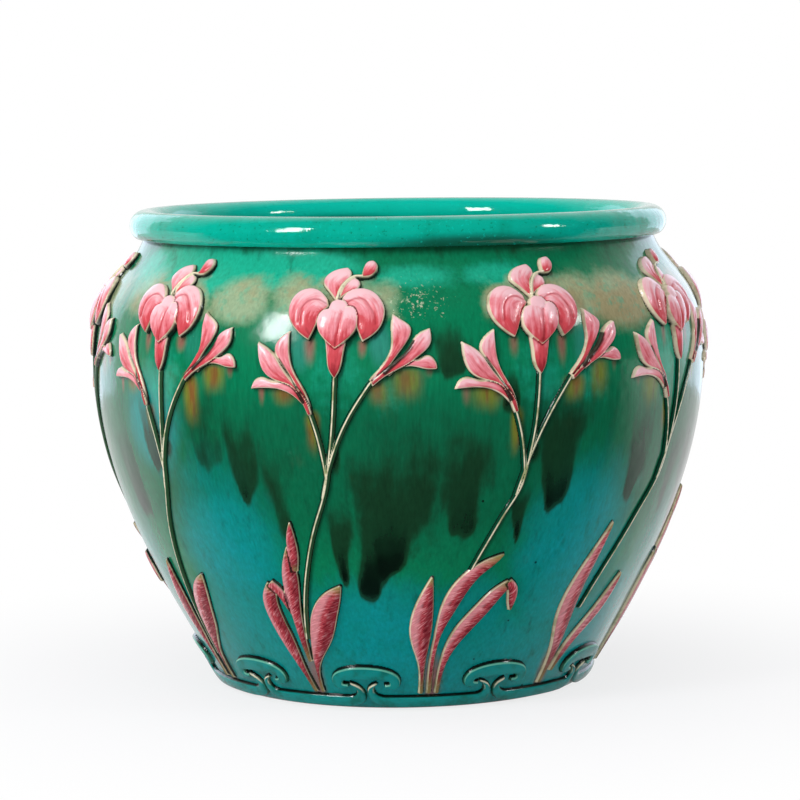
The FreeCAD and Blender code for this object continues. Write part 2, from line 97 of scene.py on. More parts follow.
class SprigSizes(bpy.types.PropertyGroup):
    """Sizes and places of the sprigs."""

    spray_count: bpy.props.IntProperty(name="Sprays", description="Sprays round the pot", default=10, min=1)
    spray_height: length("Spray height", "Way up the wall to the flower's tube end", 0.234)
    flower_height: length("Flower height", "Height of the open flower", 0.071)
    flower_relief: length("Flower relief", "Highest crest of the flower", 0.0064)
    blossom_length: length("Blossom length", "Length of the left side blossom", 0.052)
    blossom_relief: length("Blossom relief", "Highest crest of a side blossom", 0.0038)
    left_across: length("Left blossom across", "Foot of the left blossom from the flower's line", -0.015)
    left_drop: length("Left blossom drop", "Foot of the left blossom below the tube end", 0.023)
    right_across: length("Right blossom across", "Foot of the right blossom from the flower's line", 0.0207)
    right_drop: length("Right blossom drop", "Foot of the right blossom below the tube end", 0.004)
    stem_width: length("Stem width", "Width of a stem", 0.0032)
    stem_relief: length("Stem relief", "Height of a stem", 0.002)
    join_across: length("Join across", "Place where the stems meet", -0.0085)
    join_drop: length("Join drop", "Drop from the tube end to where the stems meet", 0.069)
    leaf_length: length("Leaf length", "Length of a plain leaf", 0.088)
    leaf_relief: length("Leaf relief", "Height of a leaf's crest", 0.0033)
    tuft_height: length("Tuft height", "Way up the wall to the foot of the leaves", 0.0135)
    cap_width: length("Cap width", "Width of a scroll cap", 0.044)
    cap_height: length("Cap height", "Top of a scroll cap along the wall", 0.0355)
    cap_relief: length("Cap relief", "Height of a scroll cap", 0.0036)
    strap_height: length("Strap height", "Height of the strap along the foot", 0.010)
    strap_relief: length("Strap relief", "Height of a strap's crest", 0.0034)
    grid: length("Grid", "Spacing of the relief's grid", 0.0006)
    skirt: length("Skirt", "Glaze that pools round a sprig", 0.0009)
    sink: length("Sink", "How far a sprig's back is let into the wall", 0.0008)


class GlazeColours(bpy.types.PropertyGroup):
    """Colours of the lead glazes and of the bare clay."""

    emerald: colour("Emerald", "Green glaze of the shoulder", "#057a50")
    bright: colour("Bright green", "Green glaze where it lies thin and clear", "#1db391")
    teal: colour("Teal", "Blue green glaze of the lower wall", "#068b84")
    turquoise: colour("Turquoise", "Bluest glaze of the lower wall", "#07979d")
    deep: colour("Deep green", "Green glaze where it lies thick", "#0a5236")
    # dark: also used as painted shade under the lip and on the lip's underside
    dark: colour("Dark green", "Glaze that ran together", "#15361f")
    # black: also used as the painted shadow on the wall beside the stems and petals
    black: colour("Black green", "Glaze pooled so thick that it looks black", "#050d09")
    sand: colour("Sand", "Glaze wiped thin over the clay", "#9fb48f")
    tan: colour("Tan", "Clay showing through the wiped glaze", "#aa9c74")
    rust: colour("Rust", "Brown runs under the blossoms", "#96501a")
    ochre: colour("Ochre", "Yellow green runs under the blossoms", "#8a861f")
    run: colour("Pink run", "Pink glaze run down from the petals", "#ad5a56")
    # reflection haze: painted reflection, milky blue-green patches beside the flowers
    reflection_haze: colour("Haze", "Milky blue green beside the flowers", "#3f9c93")
    fleck: colour("Fleck", "Pale flecks in the green", "#c4cdae")
    lip: colour("Lip", "Green glaze of the rolled lip", "#05ab92")
    lip_deep: colour("Deep lip", "Glaze gathered on the lip", "#057a5c")
    # inner: also painted as light on the lip's inner face
    inner: colour("Inner", "Green glaze of the inside", "#08d2bb")
    pale: colour("Pale petal", "Petal glaze where it is thin", "#f9c6cb")
    pink: colour("Pink petal", "Petal glaze", "#ec8a92")
    coral: colour("Coral petal", "Petal glaze where it runs together", "#d24a52")
    wine: colour("Wine petal", "Petal glaze at its thickest", "#96242b")
    cream: colour("Cream", "Clay showing through on thin edges", "#ebe2c0")
    olive: colour("Olive", "Thin green over cream edges", "#87904f")
    # line: also painted as shadow along the lower right edges of the petals and the upper right edges of the
    # leaves
    line: colour("Line", "Dark glaze pooled round a sprig", "#10211a")
    leaf: colour("Leaf", "Crimson glaze of the leaves", "#b7424a")
    # leaf_dark: also painted as shade on the leaves' right halves
    leaf_dark: colour("Leaf shade", "Crimson glaze where it lies thick", "#58111b")
    # leaf_pale: also painted as light on the leaves' left halves
    leaf_pale: colour("Leaf streak", "Crimson glaze where it lies thin", "#f3b0b2")
    leaf_edge: colour("Leaf edge", "Clay showing through on the leaves' edges", "#ece0b8")
    stem_flank: colour("Stem flank", "Green glaze down the sides of a stem", "#0a4630")
    band: colour("Band", "Turquoise glaze of the foot's bands", "#058f88")
    band_ridge: colour("Band ridge", "Thin glaze on the bands' ridges", "#6cc0a4")
    clay: colour("Clay", "Bare fired clay of the standing ring", "#c9a982")
    ground: colour("Ground", "Pale floor", "#f0eff6")


# The wall: shares of the belly's height, then of the rise to the neck with the share of extra radius left
LOWER_SHARES = (0.0, 0.12, 0.28, 0.46, 0.64, 0.82, 1.0)
SHOULDER_SHARES = ((0.29, 0.945), (0.54, 0.760), (0.80, 0.285))
NECK_LEAN = -0.30

# Petals of the open flower as shares of its height: left edge and right edge from root to tip, then the
# heights of the edge and of the crest as shares of the relief
BACK_LEFT = (
    ((-0.005, 0.652), (-0.09, 0.765), (-0.14, 0.85), (-0.107, 0.928), (-0.04, 0.976), (0.055, 1.0)),
    ((-0.005, 0.652), (0.012, 0.74), (0.045, 0.834), (0.09, 0.895), (0.092, 0.946), (0.055, 1.0)),
    0.25, 0.55,
)
BACK_RIGHT = (
    ((0.01, 0.652), (0.03, 0.74), (0.062, 0.825), (0.12, 0.886)),
    ((0.01, 0.652), (0.08, 0.723), (0.16, 0.765), (0.18, 0.816), (0.163, 0.865), (0.12, 0.886)),
    0.22, 0.45,
)
LEFT_WING = (
    (
        (-0.08, 0.67), (-0.175, 0.763), (-0.26, 0.773), (-0.35, 0.727), (-0.403, 0.635), (-0.41, 0.53),
        (-0.368, 0.44), (-0.3, 0.37), (-0.218, 0.314),
    ),
    ((-0.06, 0.6), (-0.11, 0.54), (-0.15, 0.46), (-0.18, 0.39), (-0.218, 0.314)),
    0.34, 0.8,
)
RIGHT_WING = (
    ((0.06, 0.6), (0.12, 0.52), (0.17, 0.45), (0.2, 0.385), (0.238, 0.304)),
    (
        (0.045, 0.68), (0.096, 0.743), (0.183, 0.775), (0.289, 0.749), (0.365, 0.679), (0.41, 0.585),
        (0.406, 0.476), (0.365, 0.396), (0.3, 0.34), (0.238, 0.304),
    ),
    0.34, 0.8,
)
TUBE = (
    ((-0.085, 0.36), (-0.065, 0.2), (-0.042, 0.062), (0.0, 0.0)),
    ((0.115, 0.36), (0.08, 0.2), (0.047, 0.062), (0.01, 0.0)),
    0.3, 0.64,
)
CENTRE = (
    ((-0.035, 0.5), (-0.055, 0.575), (-0.032, 0.636), (0.021, 0.657)),
    ((0.11, 0.5), (0.108, 0.585), (0.08, 0.634), (0.021, 0.657)),
    0.6, 0.88,
)
HEART = (
    (
        (0.046, 0.548), (-0.033, 0.574), (-0.105, 0.559), (-0.146, 0.49), (-0.143, 0.412), (-0.078, 0.318),
        (0.012, 0.243),
    ),
    (
        (0.046, 0.548), (0.091, 0.587), (0.154, 0.582), (0.194, 0.498), (0.181, 0.398), (0.105, 0.31),
        (0.012, 0.243),
    ),
    0.66, 1.0,
)
BUD = (
    ((0.185, 0.886), (0.186, 0.98), (0.219, 1.056), (0.27, 1.066)),
    ((0.185, 0.886), (0.262, 0.9), (0.306, 0.968), (0.296, 1.033), (0.27, 1.066)),
    0.25, 0.68,
)
BUD_STALK = ((0.003, 0.66), (0.019, 0.75), (0.06, 0.835), (0.12, 0.893), (0.195, 0.897))
BUD_STALK_HALF = 0.013
BUD_STALK_HEIGHTS = (0.40, 0.66)
# Each petal with how dark the glaze lies where it meets the next, and how far it has run at the petal's top
FLOWER_PETALS = (
    (BACK_LEFT, 0.6, -0.12),
    (BACK_RIGHT, 0.6, -0.12),
    (TUBE, 0.9, 0.30),
    (LEFT_WING, 0.9, 0.0),
    (RIGHT_WING, 0.9, 0.0),
    (CENTRE, 0.0, -0.50),
    (HEART, 0.5, 0.0),
    (BUD, 0.6, 0.0),
)
# Folds: line, depth and width in metres, number of the petal that is folded or None for all, how dark
FLOWER_FOLDS = (
    (
        ((-0.3, 0.46), (-0.292, 0.55), (-0.25, 0.622), (-0.17, 0.655), (-0.085, 0.625)),
        0.0008, 0.0011, 3, 0.55,
    ),
    (
        ((0.09, 0.625), (0.165, 0.66), (0.235, 0.65), (0.28, 0.6), (0.33, 0.52), (0.345, 0.45)),
        0.0008, 0.0011, 4, 0.55,
    ),
    (((0.075, 0.575), (0.055, 0.52), (0.047, 0.45), (0.033, 0.36), (0.017, 0.28)), 0.0009, 0.0012, 6, 0.45),
    (((-0.02, 0.7), (-0.055, 0.8), (-0.03, 0.9)), 0.0004, 0.0014, 0, 0.3),
)

# Petals of the side blossoms as shares of their length: upper, outer and middle
LEFT_PETALS = (
    (
        (
            (-0.04, 0.115), (-0.154, 0.327), (-0.279, 0.519), (-0.385, 0.663), (-0.43, 0.77),
            (-0.385, 0.875), (-0.244, 0.979),
        ),
        (
            (0.012, 0.098), (-0.058, 0.285), (-0.152, 0.437), (-0.225, 0.606), (-0.248, 0.806),
            (-0.244, 0.979),
        ),
        0.32, 0.72,
    ),
    (
        (
            (-0.077, 0.173), (-0.192, 0.337), (-0.346, 0.394), (-0.469, 0.4), (-0.588, 0.435),
            (-0.677, 0.41), (-0.74, 0.306),
        ),
        ((-0.058, 0.096), (-0.206, 0.235), (-0.387, 0.308), (-0.59, 0.317), (-0.74, 0.306)),
        0.3, 0.66,
    ),
    (
        (
            (-0.03, 0.01), (-0.115, 0.2), (-0.22, 0.342), (-0.385, 0.402), (-0.554, 0.49), (-0.623, 0.629),
            (-0.644, 0.844),
        ),
        ((0.023, 0.02), (-0.03, 0.173), (-0.187, 0.375), (-0.333, 0.558), (-0.452, 0.725), (-0.644, 0.844)),
        0.46, 1.0,
    ),
)
LEFT_FOLDS = (
    (((-0.24, 0.375), (-0.37, 0.47), (-0.5, 0.58), (-0.585, 0.7)), 0.0006, 0.0011, 2, 0.4),
    (((-0.13, 0.36), (-0.25, 0.53), (-0.32, 0.7), (-0.32, 0.84)), 0.0005, 0.0011, 0, 0.4),
    (((-0.1, 0.2), (-0.16, 0.32), (-0.28, 0.52), (-0.37, 0.66)), 0.0003, 0.0008, None, 0.9),
    (((-0.075, 0.17), (-0.13, 0.27)), 0.0004, 0.0016, None, 1.0),
)
# Size of the right blossom against the left one, and how far the glaze has run at the blossoms' tops
RIGHT_SIZE = 0.93
BLOSSOM_RAN = 0.16
RIGHT_PETALS = (
    (
        ((0.008, 0.066), (0.182, 0.265), (0.279, 0.478), (0.271, 0.678), (0.277, 0.877)),
        (
            (0.041, 0.021), (0.215, 0.182), (0.362, 0.378), (0.476, 0.542), (0.511, 0.693), (0.397, 0.796),
            (0.277, 0.877),
        ),
        0.32, 0.72,
    ),
    (
        (
            (0.207, 0.165), (0.352, 0.258), (0.517, 0.31), (0.612, 0.308), (0.709, 0.356), (0.827, 0.271),
            (0.844, 0.188),
        ),
        ((0.248, 0.103), (0.38, 0.196), (0.529, 0.227), (0.711, 0.19), (0.844, 0.188)),
        0.3, 0.66,
    ),
    (
        ((0.021, 0.041), (0.196, 0.186), (0.331, 0.296), (0.478, 0.443), (0.587, 0.608), (0.742, 0.689)),
        ((0.048, -0.017), (0.248, 0.132), (0.463, 0.244), (0.627, 0.358), (0.757, 0.505), (0.742, 0.689)),
        0.46, 1.0,
    ),
)
RIGHT_FOLDS = (
    (((0.3, 0.22), (0.45, 0.33), (0.57, 0.44), (0.67, 0.57)), 0.0006, 0.0011, 2, 0.4),
    (((0.26, 0.36), (0.34, 0.5), (0.37, 0.64)), 0.0005, 0.0011, 0, 0.4),
    (((0.2, 0.155), (0.34, 0.285), (0.46, 0.41), (0.53, 0.53)), 0.0004, 0.0021, None, 1.0),
    (((0.4, 0.36), (0.49, 0.47)), 0.0003, 0.0034, None, 1.0),
)

# Leaves as shares of the leaf length: across, along, left and right half widths
FOLDED_LEAF = (
    (-0.02, 0.0, 0.014, 0.014), (-0.07, 0.2, 0.022, 0.022), (-0.13, 0.47, 0.048, 0.048),
    (-0.18, 0.7, 0.055, 0.055), (-0.18, 0.86, 0.052, 0.052), (-0.14, 0.96, 0.035, 0.035),
)
FOLDED_TIP = (
    (-0.15, 0.97, 0.03, 0.03), (-0.09, 0.9, 0.032, 0.032), (-0.055, 0.81, 0.024, 0.024),
    (-0.04, 0.71, 0.006, 0.006),
)
TWISTED_LEAF = (
    (0.0, 0.28, 0.014, 0.014), (-0.005, 0.5, 0.026, 0.026), (0.0, 0.75, 0.04, 0.04),
    (0.02, 1.03, 0.056, 0.058), (0.04, 1.2, 0.03, 0.03), (0.045, 1.27, 0.006, 0.006),
)
TWISTED_TIP = (
    (0.07, 1.08, 0.022, 0.022), (0.085, 1.2, 0.034, 0.034), (0.09, 1.33, 0.034, 0.034),
    (0.105, 1.47, 0.006, 0.006),
)
BROAD_LEAF = (
    (0.03, 0.0, 0.014, 0.014), (0.045, 0.24, 0.02, 0.02), (0.13, 0.5, 0.07, 0.075),
    (0.22, 0.73, 0.085, 0.08), (0.31, 0.88, 0.055, 0.05), (0.38, 0.97, 0.006, 0.006),
)
UPRIGHT_LEAF = (
    (-0.07, 0.0, 0.014, 0.014), (-0.08, 0.27, 0.022, 0.022), (-0.1, 0.55, 0.07, 0.062),
    (-0.09, 0.8, 0.058, 0.055), (-0.05, 1.04, 0.006, 0.006),
)
ARCHED_LEAF = (
    (-0.015, 0.0, 0.014, 0.014), (-0.01, 0.3, 0.016, 0.016), (0.02, 0.55, 0.022, 0.022),
    (0.07, 0.74, 0.048, 0.046), (0.15, 0.93, 0.058, 0.055), (0.27, 1.08, 0.046, 0.044),
    (0.37, 1.15, 0.032, 0.032), (0.455, 1.205, 0.006, 0.006),
)
BENT_LEAF = (
    (0.04, 0.0, 0.014, 0.014), (0.085, 0.34, 0.026, 0.026), (0.18, 0.56, 0.05, 0.05),
    (0.32, 0.75, 0.055, 0.052), (0.44, 0.9, 0.042, 0.042), (0.515, 0.965, 0.028, 0.028),
)
BENT_TIP = (
    (0.5, 0.975, 0.028, 0.028), (0.535, 0.92, 0.034, 0.034), (0.54, 0.83, 0.03, 0.03),
    (0.53, 0.72, 0.006, 0.006),
)
TALL_LEAF = (
    (-0.02, 0.0, 0.014, 0.014), (-0.01, 0.33, 0.036, 0.036), (-0.05, 0.63, 0.066, 0.066),
    (-0.03, 0.9, 0.062, 0.06), (0.04, 1.13, 0.04, 0.04), (0.13, 1.37, 0.006, 0.006),
)
SLIM_LEAF = (
    (0.05, 0.1, 0.014, 0.014), (0.14, 0.37, 0.034, 0.034), (0.3, 0.6, 0.046, 0.046),
    (0.39, 0.76, 0.036, 0.036), (0.46, 0.91, 0.006, 0.006),
)
# Leaves of each kind of tuft, its place between two sprays, and the kind under each spray
TUFTS = {
    "twisted": (FOLDED_LEAF, FOLDED_TIP, TWISTED_LEAF, TWISTED_TIP, BROAD_LEAF),
    "arched": (UPRIGHT_LEAF, ARCHED_LEAF, BENT_LEAF, BENT_TIP),
    "tall": (TALL_LEAF, SLIM_LEAF),
    "plain": (UPRIGHT_LEAF, BROAD_LEAF),
}
TUFT_PLACES = {"twisted": -0.365, "arched": -0.475, "tall": -0.50, "plain": -0.35}
SPRAY_TUFTS = (
    "twisted", "arched", "tall", "twisted", "arched", "plain", "tall", "twisted", "arched", "plain",
)

# Stems: share of the way across to the join and share of the drop to it, for the flower's stem and a side
# stem, shares of the drop from the join to the leaves, height of the side stems' ends above the join as a
# share of the join's drop, and how far down towards the leaves' foot each kind's main stem shows
FLOWER_STEM = ((0.0, -0.02), (0.10, 0.20), (0.30, 0.48), (0.66, 0.78))
SIDE_STEM = ((-0.05, -0.03), (0.40, 0.27), (0.76, 0.62), (0.96, 0.92), (1.0, 1.0))
MAIN_STEM = (0.0, 0.22, 0.45, 0.68, 0.86, 1.0)
JOIN_RISES = (0.10, -0.09)
STEM_ENDS = {"twisted": 0.72, "arched": 0.46, "tall": 0.62, "plain": 0.88}

# Bands round the foot. Left half and middle of a scroll cap: across and along, left and right half widths, as
# shares of its width and height
HALF_CAP = (
    (-0.26, 0.58, 0.03, 0.03), (-0.38, 0.58, 0.07, 0.07), (-0.41, 0.72, 0.085, 0.085),
    (-0.27, 0.85, 0.1, 0.11), (0.0, 0.885, 0.11, 0.125),
)
# End of a strap: across and along as shares of the caps' spacing, half width as a share of its height
STRAP_END = (
    (0.085, 0.285, 0.08), (0.04, 0.25, 0.16), (0.032, 0.185, 0.24), (0.07, 0.12, 0.34), (0.16, 0.095, 0.4),
    (0.3, 0.092, 0.42),
)
# How far each cap stands from its even place as a share of the spacing, and the heights between which the
# glaze turns thin on the caps' ridges and cream on the straps' ends
CAP_SHIFTS = (0.03, 0.03, -0.04, 0.01, -0.03, 0.03, 0.0, -0.03, 0.04, 0.12)
CAP_RIDGE = (0.0, 4 * MM)
STRAP_CREAM = (11 * MM, 15 * MM)

# Fineness: samples along the curves, rows and steps of the meshes, and faces that are looked up at once
WALL_SAMPLES = 2400
OUTLINE_SAMPLES = 40
FOLD_SAMPLES = 24
WALL_STEPS = 760
WALL_ROWS = 90
INNER_KNOTS = 12
INNER_ROWS = 26
ROUNDING_SHARES = (0.0, 0.35, 0.7)
LIP_STEPS = 480
LIP_ROWS = 56
FLOOR_STEPS = 256
FACES_AT_ONCE = 4000
# How far below the neck the inside's points end, points that are one, an edge that stays sharp, normals that
# face down, digits that tell a grid's columns apart, and a number that keeps a division off zero
NECK_CLEARANCE = 0.5 * MM
DOUBLES = 0.02 * MM
SHARP_EDGE = math.radians(50.0)
DOWNWARD = -0.5
GRID_DIGITS = 7
TINY = 1e-18

# Heights of a relief's edge and crest as shares of its relief, and of the thin lip along its edge
STEM_HEIGHTS = (1 / 3, 1.0)
LEAF_HEIGHTS = (0.36, 1.0)
CAP_HEIGHTS = (0.62, 0.88)
STRAP_HEIGHTS = (0.5, 0.9)
PETAL_LIP = 0.35 * MM
LEAF_LIP = 0.2 * MM
CAP_LIP = 0.5 * MM
STRAP_LIP = 0.3 * MM
LIP_INSET = 0.7 * MM
LIP_WIDTH = 0.4 * MM

# The glaze's skirt round a relief, how wide it pools, how it softens the form, the hollows where it gathers,
# and the fullness and the slanting veins of the leaves
SUNK_SKIRT = 0.4 * MM
SKIRT_SHARES = (-0.8, 0.35)
POOL_WIDTH = 0.9 * MM
SOFTENING = 0.4 * MM
HOLLOW_SPREAD = 1.6 * MM
HOLLOW_LIMITS = (-0.25 * MM, 0.8 * MM)
LEAF_FULLNESS = 1.1
VEIN_SLANT = 0.9
VEIN_SPACING = 2.6 * MM
VEIN_DEPTH = 0.13 * MM
VEIN_FADE = (0.6 * MM, 1.6 * MM)
# Side of a relief along whose edge a dark line is painted, painted shadow and partly glaze pooled there, and
# the step between the copies' seeds for their glaze
PETAL_SHADOW_SIDE = (0.75, -0.66)
LEAF_SHADOW_SIDE = (0.60, 0.80)
SEED_STEP = 7.3

# Painted shadow on the wall below right of the petals and to the right of the stems, and the thin glaze
# round the flowers' upper petals
PETAL_SHADE = (1.3 * MM, -1.6 * MM)
PETAL_SHADE_EDGE = (-1.2 * MM, 0.6 * MM)
PETAL_DARK = 0.85
STEM_SHADE = (2.1 * MM, 0.0)
STEM_SHADE_WIDTH = 2.4 * MM
STEM_DARK = 0.75
HALO_WIDTH = 8 * MM
HALO_LEAST = 0.06
HALO_FOOT = (0.35, 0.65)
HALO_TOP = (0.84, 1.02)
# Where these are looked for: flower heights above the tube's end, and the share of the sprays' spacing
SHADE_RANGE = (-1.0, 1.2)
STEM_SHADE_REACH = 0.9
# Crimson wash between a tuft's stalks: width, spread, strength, and where it starts and ends up the leaves
WASH_WIDTH = 5 * MM
WASH_SPREAD = 1.5
WASH_STRENGTH = 0.85
WASH_FOOT = (-0.15, 0.0)
WASH_TOP = (0.15, 0.55)

# Bands of the wall as shares of its height: teal at the foot, deep green round the belly, and a dark band
# under the lip, painted shade and partly glaze pooled there
FOOT_BAND = (0.10, 0.34)
FOOT_STRENGTH = 0.9
DEEP_FOOT = (0.22, 0.45)
DEEP_TOP = (0.58, 0.80)
UNDER_LIP_SHADE = (0.912, 0.945)
# How a soft patch falls off from its middle, and places opposite each other round the pot
PATCH_FALL = 0.7
PATCH_POWER = 1.5
BOTH_SIDES = (0.0, 180.0)
# Patches of glaze on the wall: degrees round the pot, share of the pot's height, half width in degrees, half
# height as a share, strength
TEAL_PATCHES = (
    (-26.7, 0.48, 9.0, 0.09, 0.45),
    (-25.7, 0.315, 13.0, 0.14, 1.0),
    (-27.6, 0.17, 14.0, 0.14, 0.9),
    (8.0, 0.15, 24.0, 0.13, 1.0),
    (48.8, 0.31, 13.0, 0.20, 1.0),
    (70.0, 0.12, 20.0, 0.14, 1.0),
    (26.5, 0.20, 12.0, 0.09, 0.8),
    (-40.5, 0.59, 8.0, 0.10, 0.8),
    (-80.0, 0.25, 26.0, 0.2, 0.9),
    (100.0, 0.25, 22.0, 0.2, 0.9),
)
SAND_PATCHES = (
    (-19.6, 0.838, 7.0, 0.044, 1.0),
    (-8.8, 0.845, 5.0, 0.045, 0.8),
    (8.0, 0.845, 4.0, 0.04, 0.7),
    (46.3, 0.838, 7.0, 0.046, 1.0),
    (57.1, 0.83, 9.0, 0.055, 1.0),
    (-46.4, 0.84, 7.0, 0.05, 0.7),
    (28.5, 0.84, 3.0, 0.05, 0.4),
    (-60.0, 0.84, 8.0, 0.05, 0.6),
    (85.0, 0.84, 9.0, 0.05, 0.8),
)
# Painted reflections, as milky blue-green patches beside the flowers
REFLECTION_PATCHES = (
    (7.9, 0.76, 2.4, 0.05, 0.9),
    (-6.2, 0.75, 2.6, 0.05, 0.8),
    (45.8, 0.745, 3.0, 0.06, 0.8),
    (-28.0, 0.75, 3.0, 0.05, 0.6),
    (-10.0, 0.79, 4.0, 0.06, 0.7),
)
FLECK_PATCHES = ((14.5, 0.84, 6.5, 0.05, 1.2), (-30.0, 0.80, 5.0, 0.05, 0.6), (62.0, 0.79, 6.0, 0.05, 0.7))
BRIGHT_PATCHES = (
    (-36.0, 0.895, 18.0, 0.050, 1.2),
    (-12.0, 0.900, 15.0, 0.036, 1.2),
    (13.0, 0.886, 10.0, 0.022, 0.65),
    (31.0, 0.886, 8.0, 0.022, 0.65),
    (0.0, 0.70, 6.0, 0.08, 0.35),
    (8.0, 0.68, 4.0, 0.05, 0.2),
    (36.0, 0.69, 6.0, 0.08, 0.35),
    (45.0, 0.68, 5.0, 0.07, 0.3),
    (-36.0, 0.68, 6.0, 0.08, 0.4),
    (70.0, 0.70, 10.0, 0.08, 0.5),
)

# Drips of dark glaze: degrees round the pot and share of its height at the top, the same at the lower end,
# half width in degrees at the top and at the lower end, strength
DRIPS = (
    (10.0, 0.62, 4.2, 0.243, 10.0, 2.0, 1.0),
    (15.5, 0.64, 7.5, 0.285, 13.0, 3.0, 1.0),
    (-0.3, 0.48, -0.6, 0.278, 3.2, 1.9, 1.0),
    (22.0, 0.66, 23.4, 0.372, 8.5, 2.4, 0.85),
    (13.0, 0.72, 11.0, 0.315, 16.0, 8.5, 0.3),
    (33.5, 0.5, 34.5, 0.358, 2.4, 1.1, 1.0),
    (42.5, 0.7, 40.3, 0.415, 9.0, 1.8, 0.95),
    (-19.5, 0.66, -18.5, 0.445, 5.0, 2.2, 0.75),
    (-13.0, 0.6, -11.3, 0.345, 5.0, 1.2, 0.7),
    (-27.0, 0.74, -26.0, 0.5, 7.0, 4.0, 0.45),
    (20.0, 0.82, 20.3, 0.69, 3.0, 2.2, 0.75),
    (30.4, 0.73, 30.7, 0.622, 1.6, 1.2, 0.95),
    (-41.0, 0.68, -40.0, 0.49, 4.0, 2.5, 0.8),
    (-53.0, 0.62, -51.0, 0.38, 6.0, 2.5, 0.8),
    (62.0, 0.66, 60.0, 0.42, 6.0, 2.5, 0.7),
    (76.0, 0.58, 75.0, 0.38, 4.0, 2.0, 0.8),
    (95.0, 0.62, 93.0, 0.32, 10.0, 3.0, 0.9),
    (-95.0, 0.62, -92.0, 0.32, 10.0, 3.0, 0.9),
)
# How far the drips' sides sway in degrees and their ends in shares of the height, each as waves with a size,
# a count round the pot and a count up it; how soft and how round their ends are; where their sides fade; and
# the parts of their strength, with where down the drip each starts and is full
DRIP_SWAY = 0.7
SWAY_WAVES = ((1.0, 50, 23), (0.4, 97, -37))
DRIP_LIFT = 0.004
LIFT_WAVES = ((1.0, 47, 9), (0.4, 109, 0))
DRIP_SOFTNESS = 0.015
DRIP_ROUNDNESS = 0.012
DRIP_SIDES = (0.40, 1.25)
DRIP_PARTS = ((0.58, -0.10, 0.55), (0.42, 0.50, 0.95))
# Painted shade and dark reflection on the lip's underside: degrees round the pot, roll radii below the roll's
# middle, half width, half height, strength; and how far in from the roll's middle the lip's inner face is
# painted lighter, in roll radii
LIP_SHADE_PATCHES = ((27.0, 0.85, 19.0, 0.75, 0.9), (-60.0, 0.9, 14.0, 0.5, 0.7), (78.0, 0.9, 10.0, 0.5, 0.6))
LIP_LIT_INSIDE = -0.6

# Runs of glaze below a spray: across and along from the tube's end, half width and length, as shares of the
# flower's height
RUST_RUNS = (
    (-0.20, -0.33, 0.05, 0.38), (-0.46, -0.10, 0.12, 0.34), (0.36, -0.06, 0.09, 0.42),
    (0.62, 0.05, 0.11, 0.32),
)
PINK_RUNS = (
    (-0.22, 0.31, 0.05, 0.26), (0.235, 0.30, 0.045, 0.26), (-0.66, -0.09, 0.04, 0.2),
    (0.8, 0.09, 0.04, 0.18),
)
DARK_RUNS = ((-0.02, -0.62, 0.05, 0.34),)
# Seeds of the runs, the least and most by which their width, length and strength vary, and where along a
# run its head comes in and its tail fades
DARK_SEED = 3
RUST_SEED = 5
PINK_SEED = 7
RUN_WIDTHS = (0.8, 1.4)
RUN_LENGTHS = (0.6, 1.3)
RUN_STRENGTHS = (0.6, 1.0)
RUN_HEAD = (-0.25, 0.05)
RUN_TAIL = (0.1, 1.05)

# Noise of the glazes: slow ripples, soft clouds, plain clouds and fine mottling
SLOW_NOISE = {"Detail": 2.0, "Roughness": 0.6}
SOFT_NOISE = {"Detail": 3.0, "Roughness": 0.6}
NOISE = {"Detail": 4.0, "Roughness": 0.6}
FINE_NOISE = {"Detail": 6.0, "Roughness": 0.6}
# Sizes of the glazes' patterns. The orange peel, the brush lines and the specks are drawn coarser than the
# real ones, so that they show
CLOUD_SIZE = 45 * MM
MOTTLE_SIZE = 6 * MM
STREAK_SIZE = 7 * MM
BRUSH_SIZE = 1.7 * MM
FLECK_SIZE = 2.2 * MM
PIT_SPACING = 34 * MM
GRAIN_SIZE = 2.4 * MM
GRIT_SIZE = 2 * MM
GRIT_DEPTH = 0.2 * MM
LIP_CLOUD = 30 * MM
INNER_CLOUD = 12 * MM
PETAL_CLOUD = 11 * MM
LEAF_CLOUD = 10 * MM
BAND_CLOUD = 9 * MM
PEEL_SIZE = 1.6 * MM
PEEL_DEPTH = 0.04 * MM
# Spacing of the petals' and leaves' streaks in millimetres, as their meshes carry their grain, and how much
# the streaks are drawn out
PETAL_STREAK = 1.9
PETAL_STRETCH = 0.14
LEAF_STREAK = 1.5
LEAF_STRETCH = 0.35
RUN_STRETCH = (1.0, 1.0, 0.16)
LIP_STRETCH = (1.0, 1.0, 0.35)
# Surfaces of the glazes: roughness, spacing and depth of their slow ripples
WALL_SURFACE = (0.15, 20 * MM, 0.4 * MM)
LIP_SURFACE = (0.07, 20 * MM, 0.6 * MM)
PETAL_SURFACE = (0.20, 8 * MM, 0.3 * MM)
LEAF_SURFACE = (0.11, 8 * MM, 0.3 * MM)
STEM_SURFACE = (0.12, 10 * MM, 0.3 * MM)
BAND_SURFACE = (0.20, 10 * MM, 0.4 * MM)
# How strongly the glaze bends light, and how rough the bare clay is
GLAZE_IOR = 1.55
CLAY_ROUGHNESS = 0.85


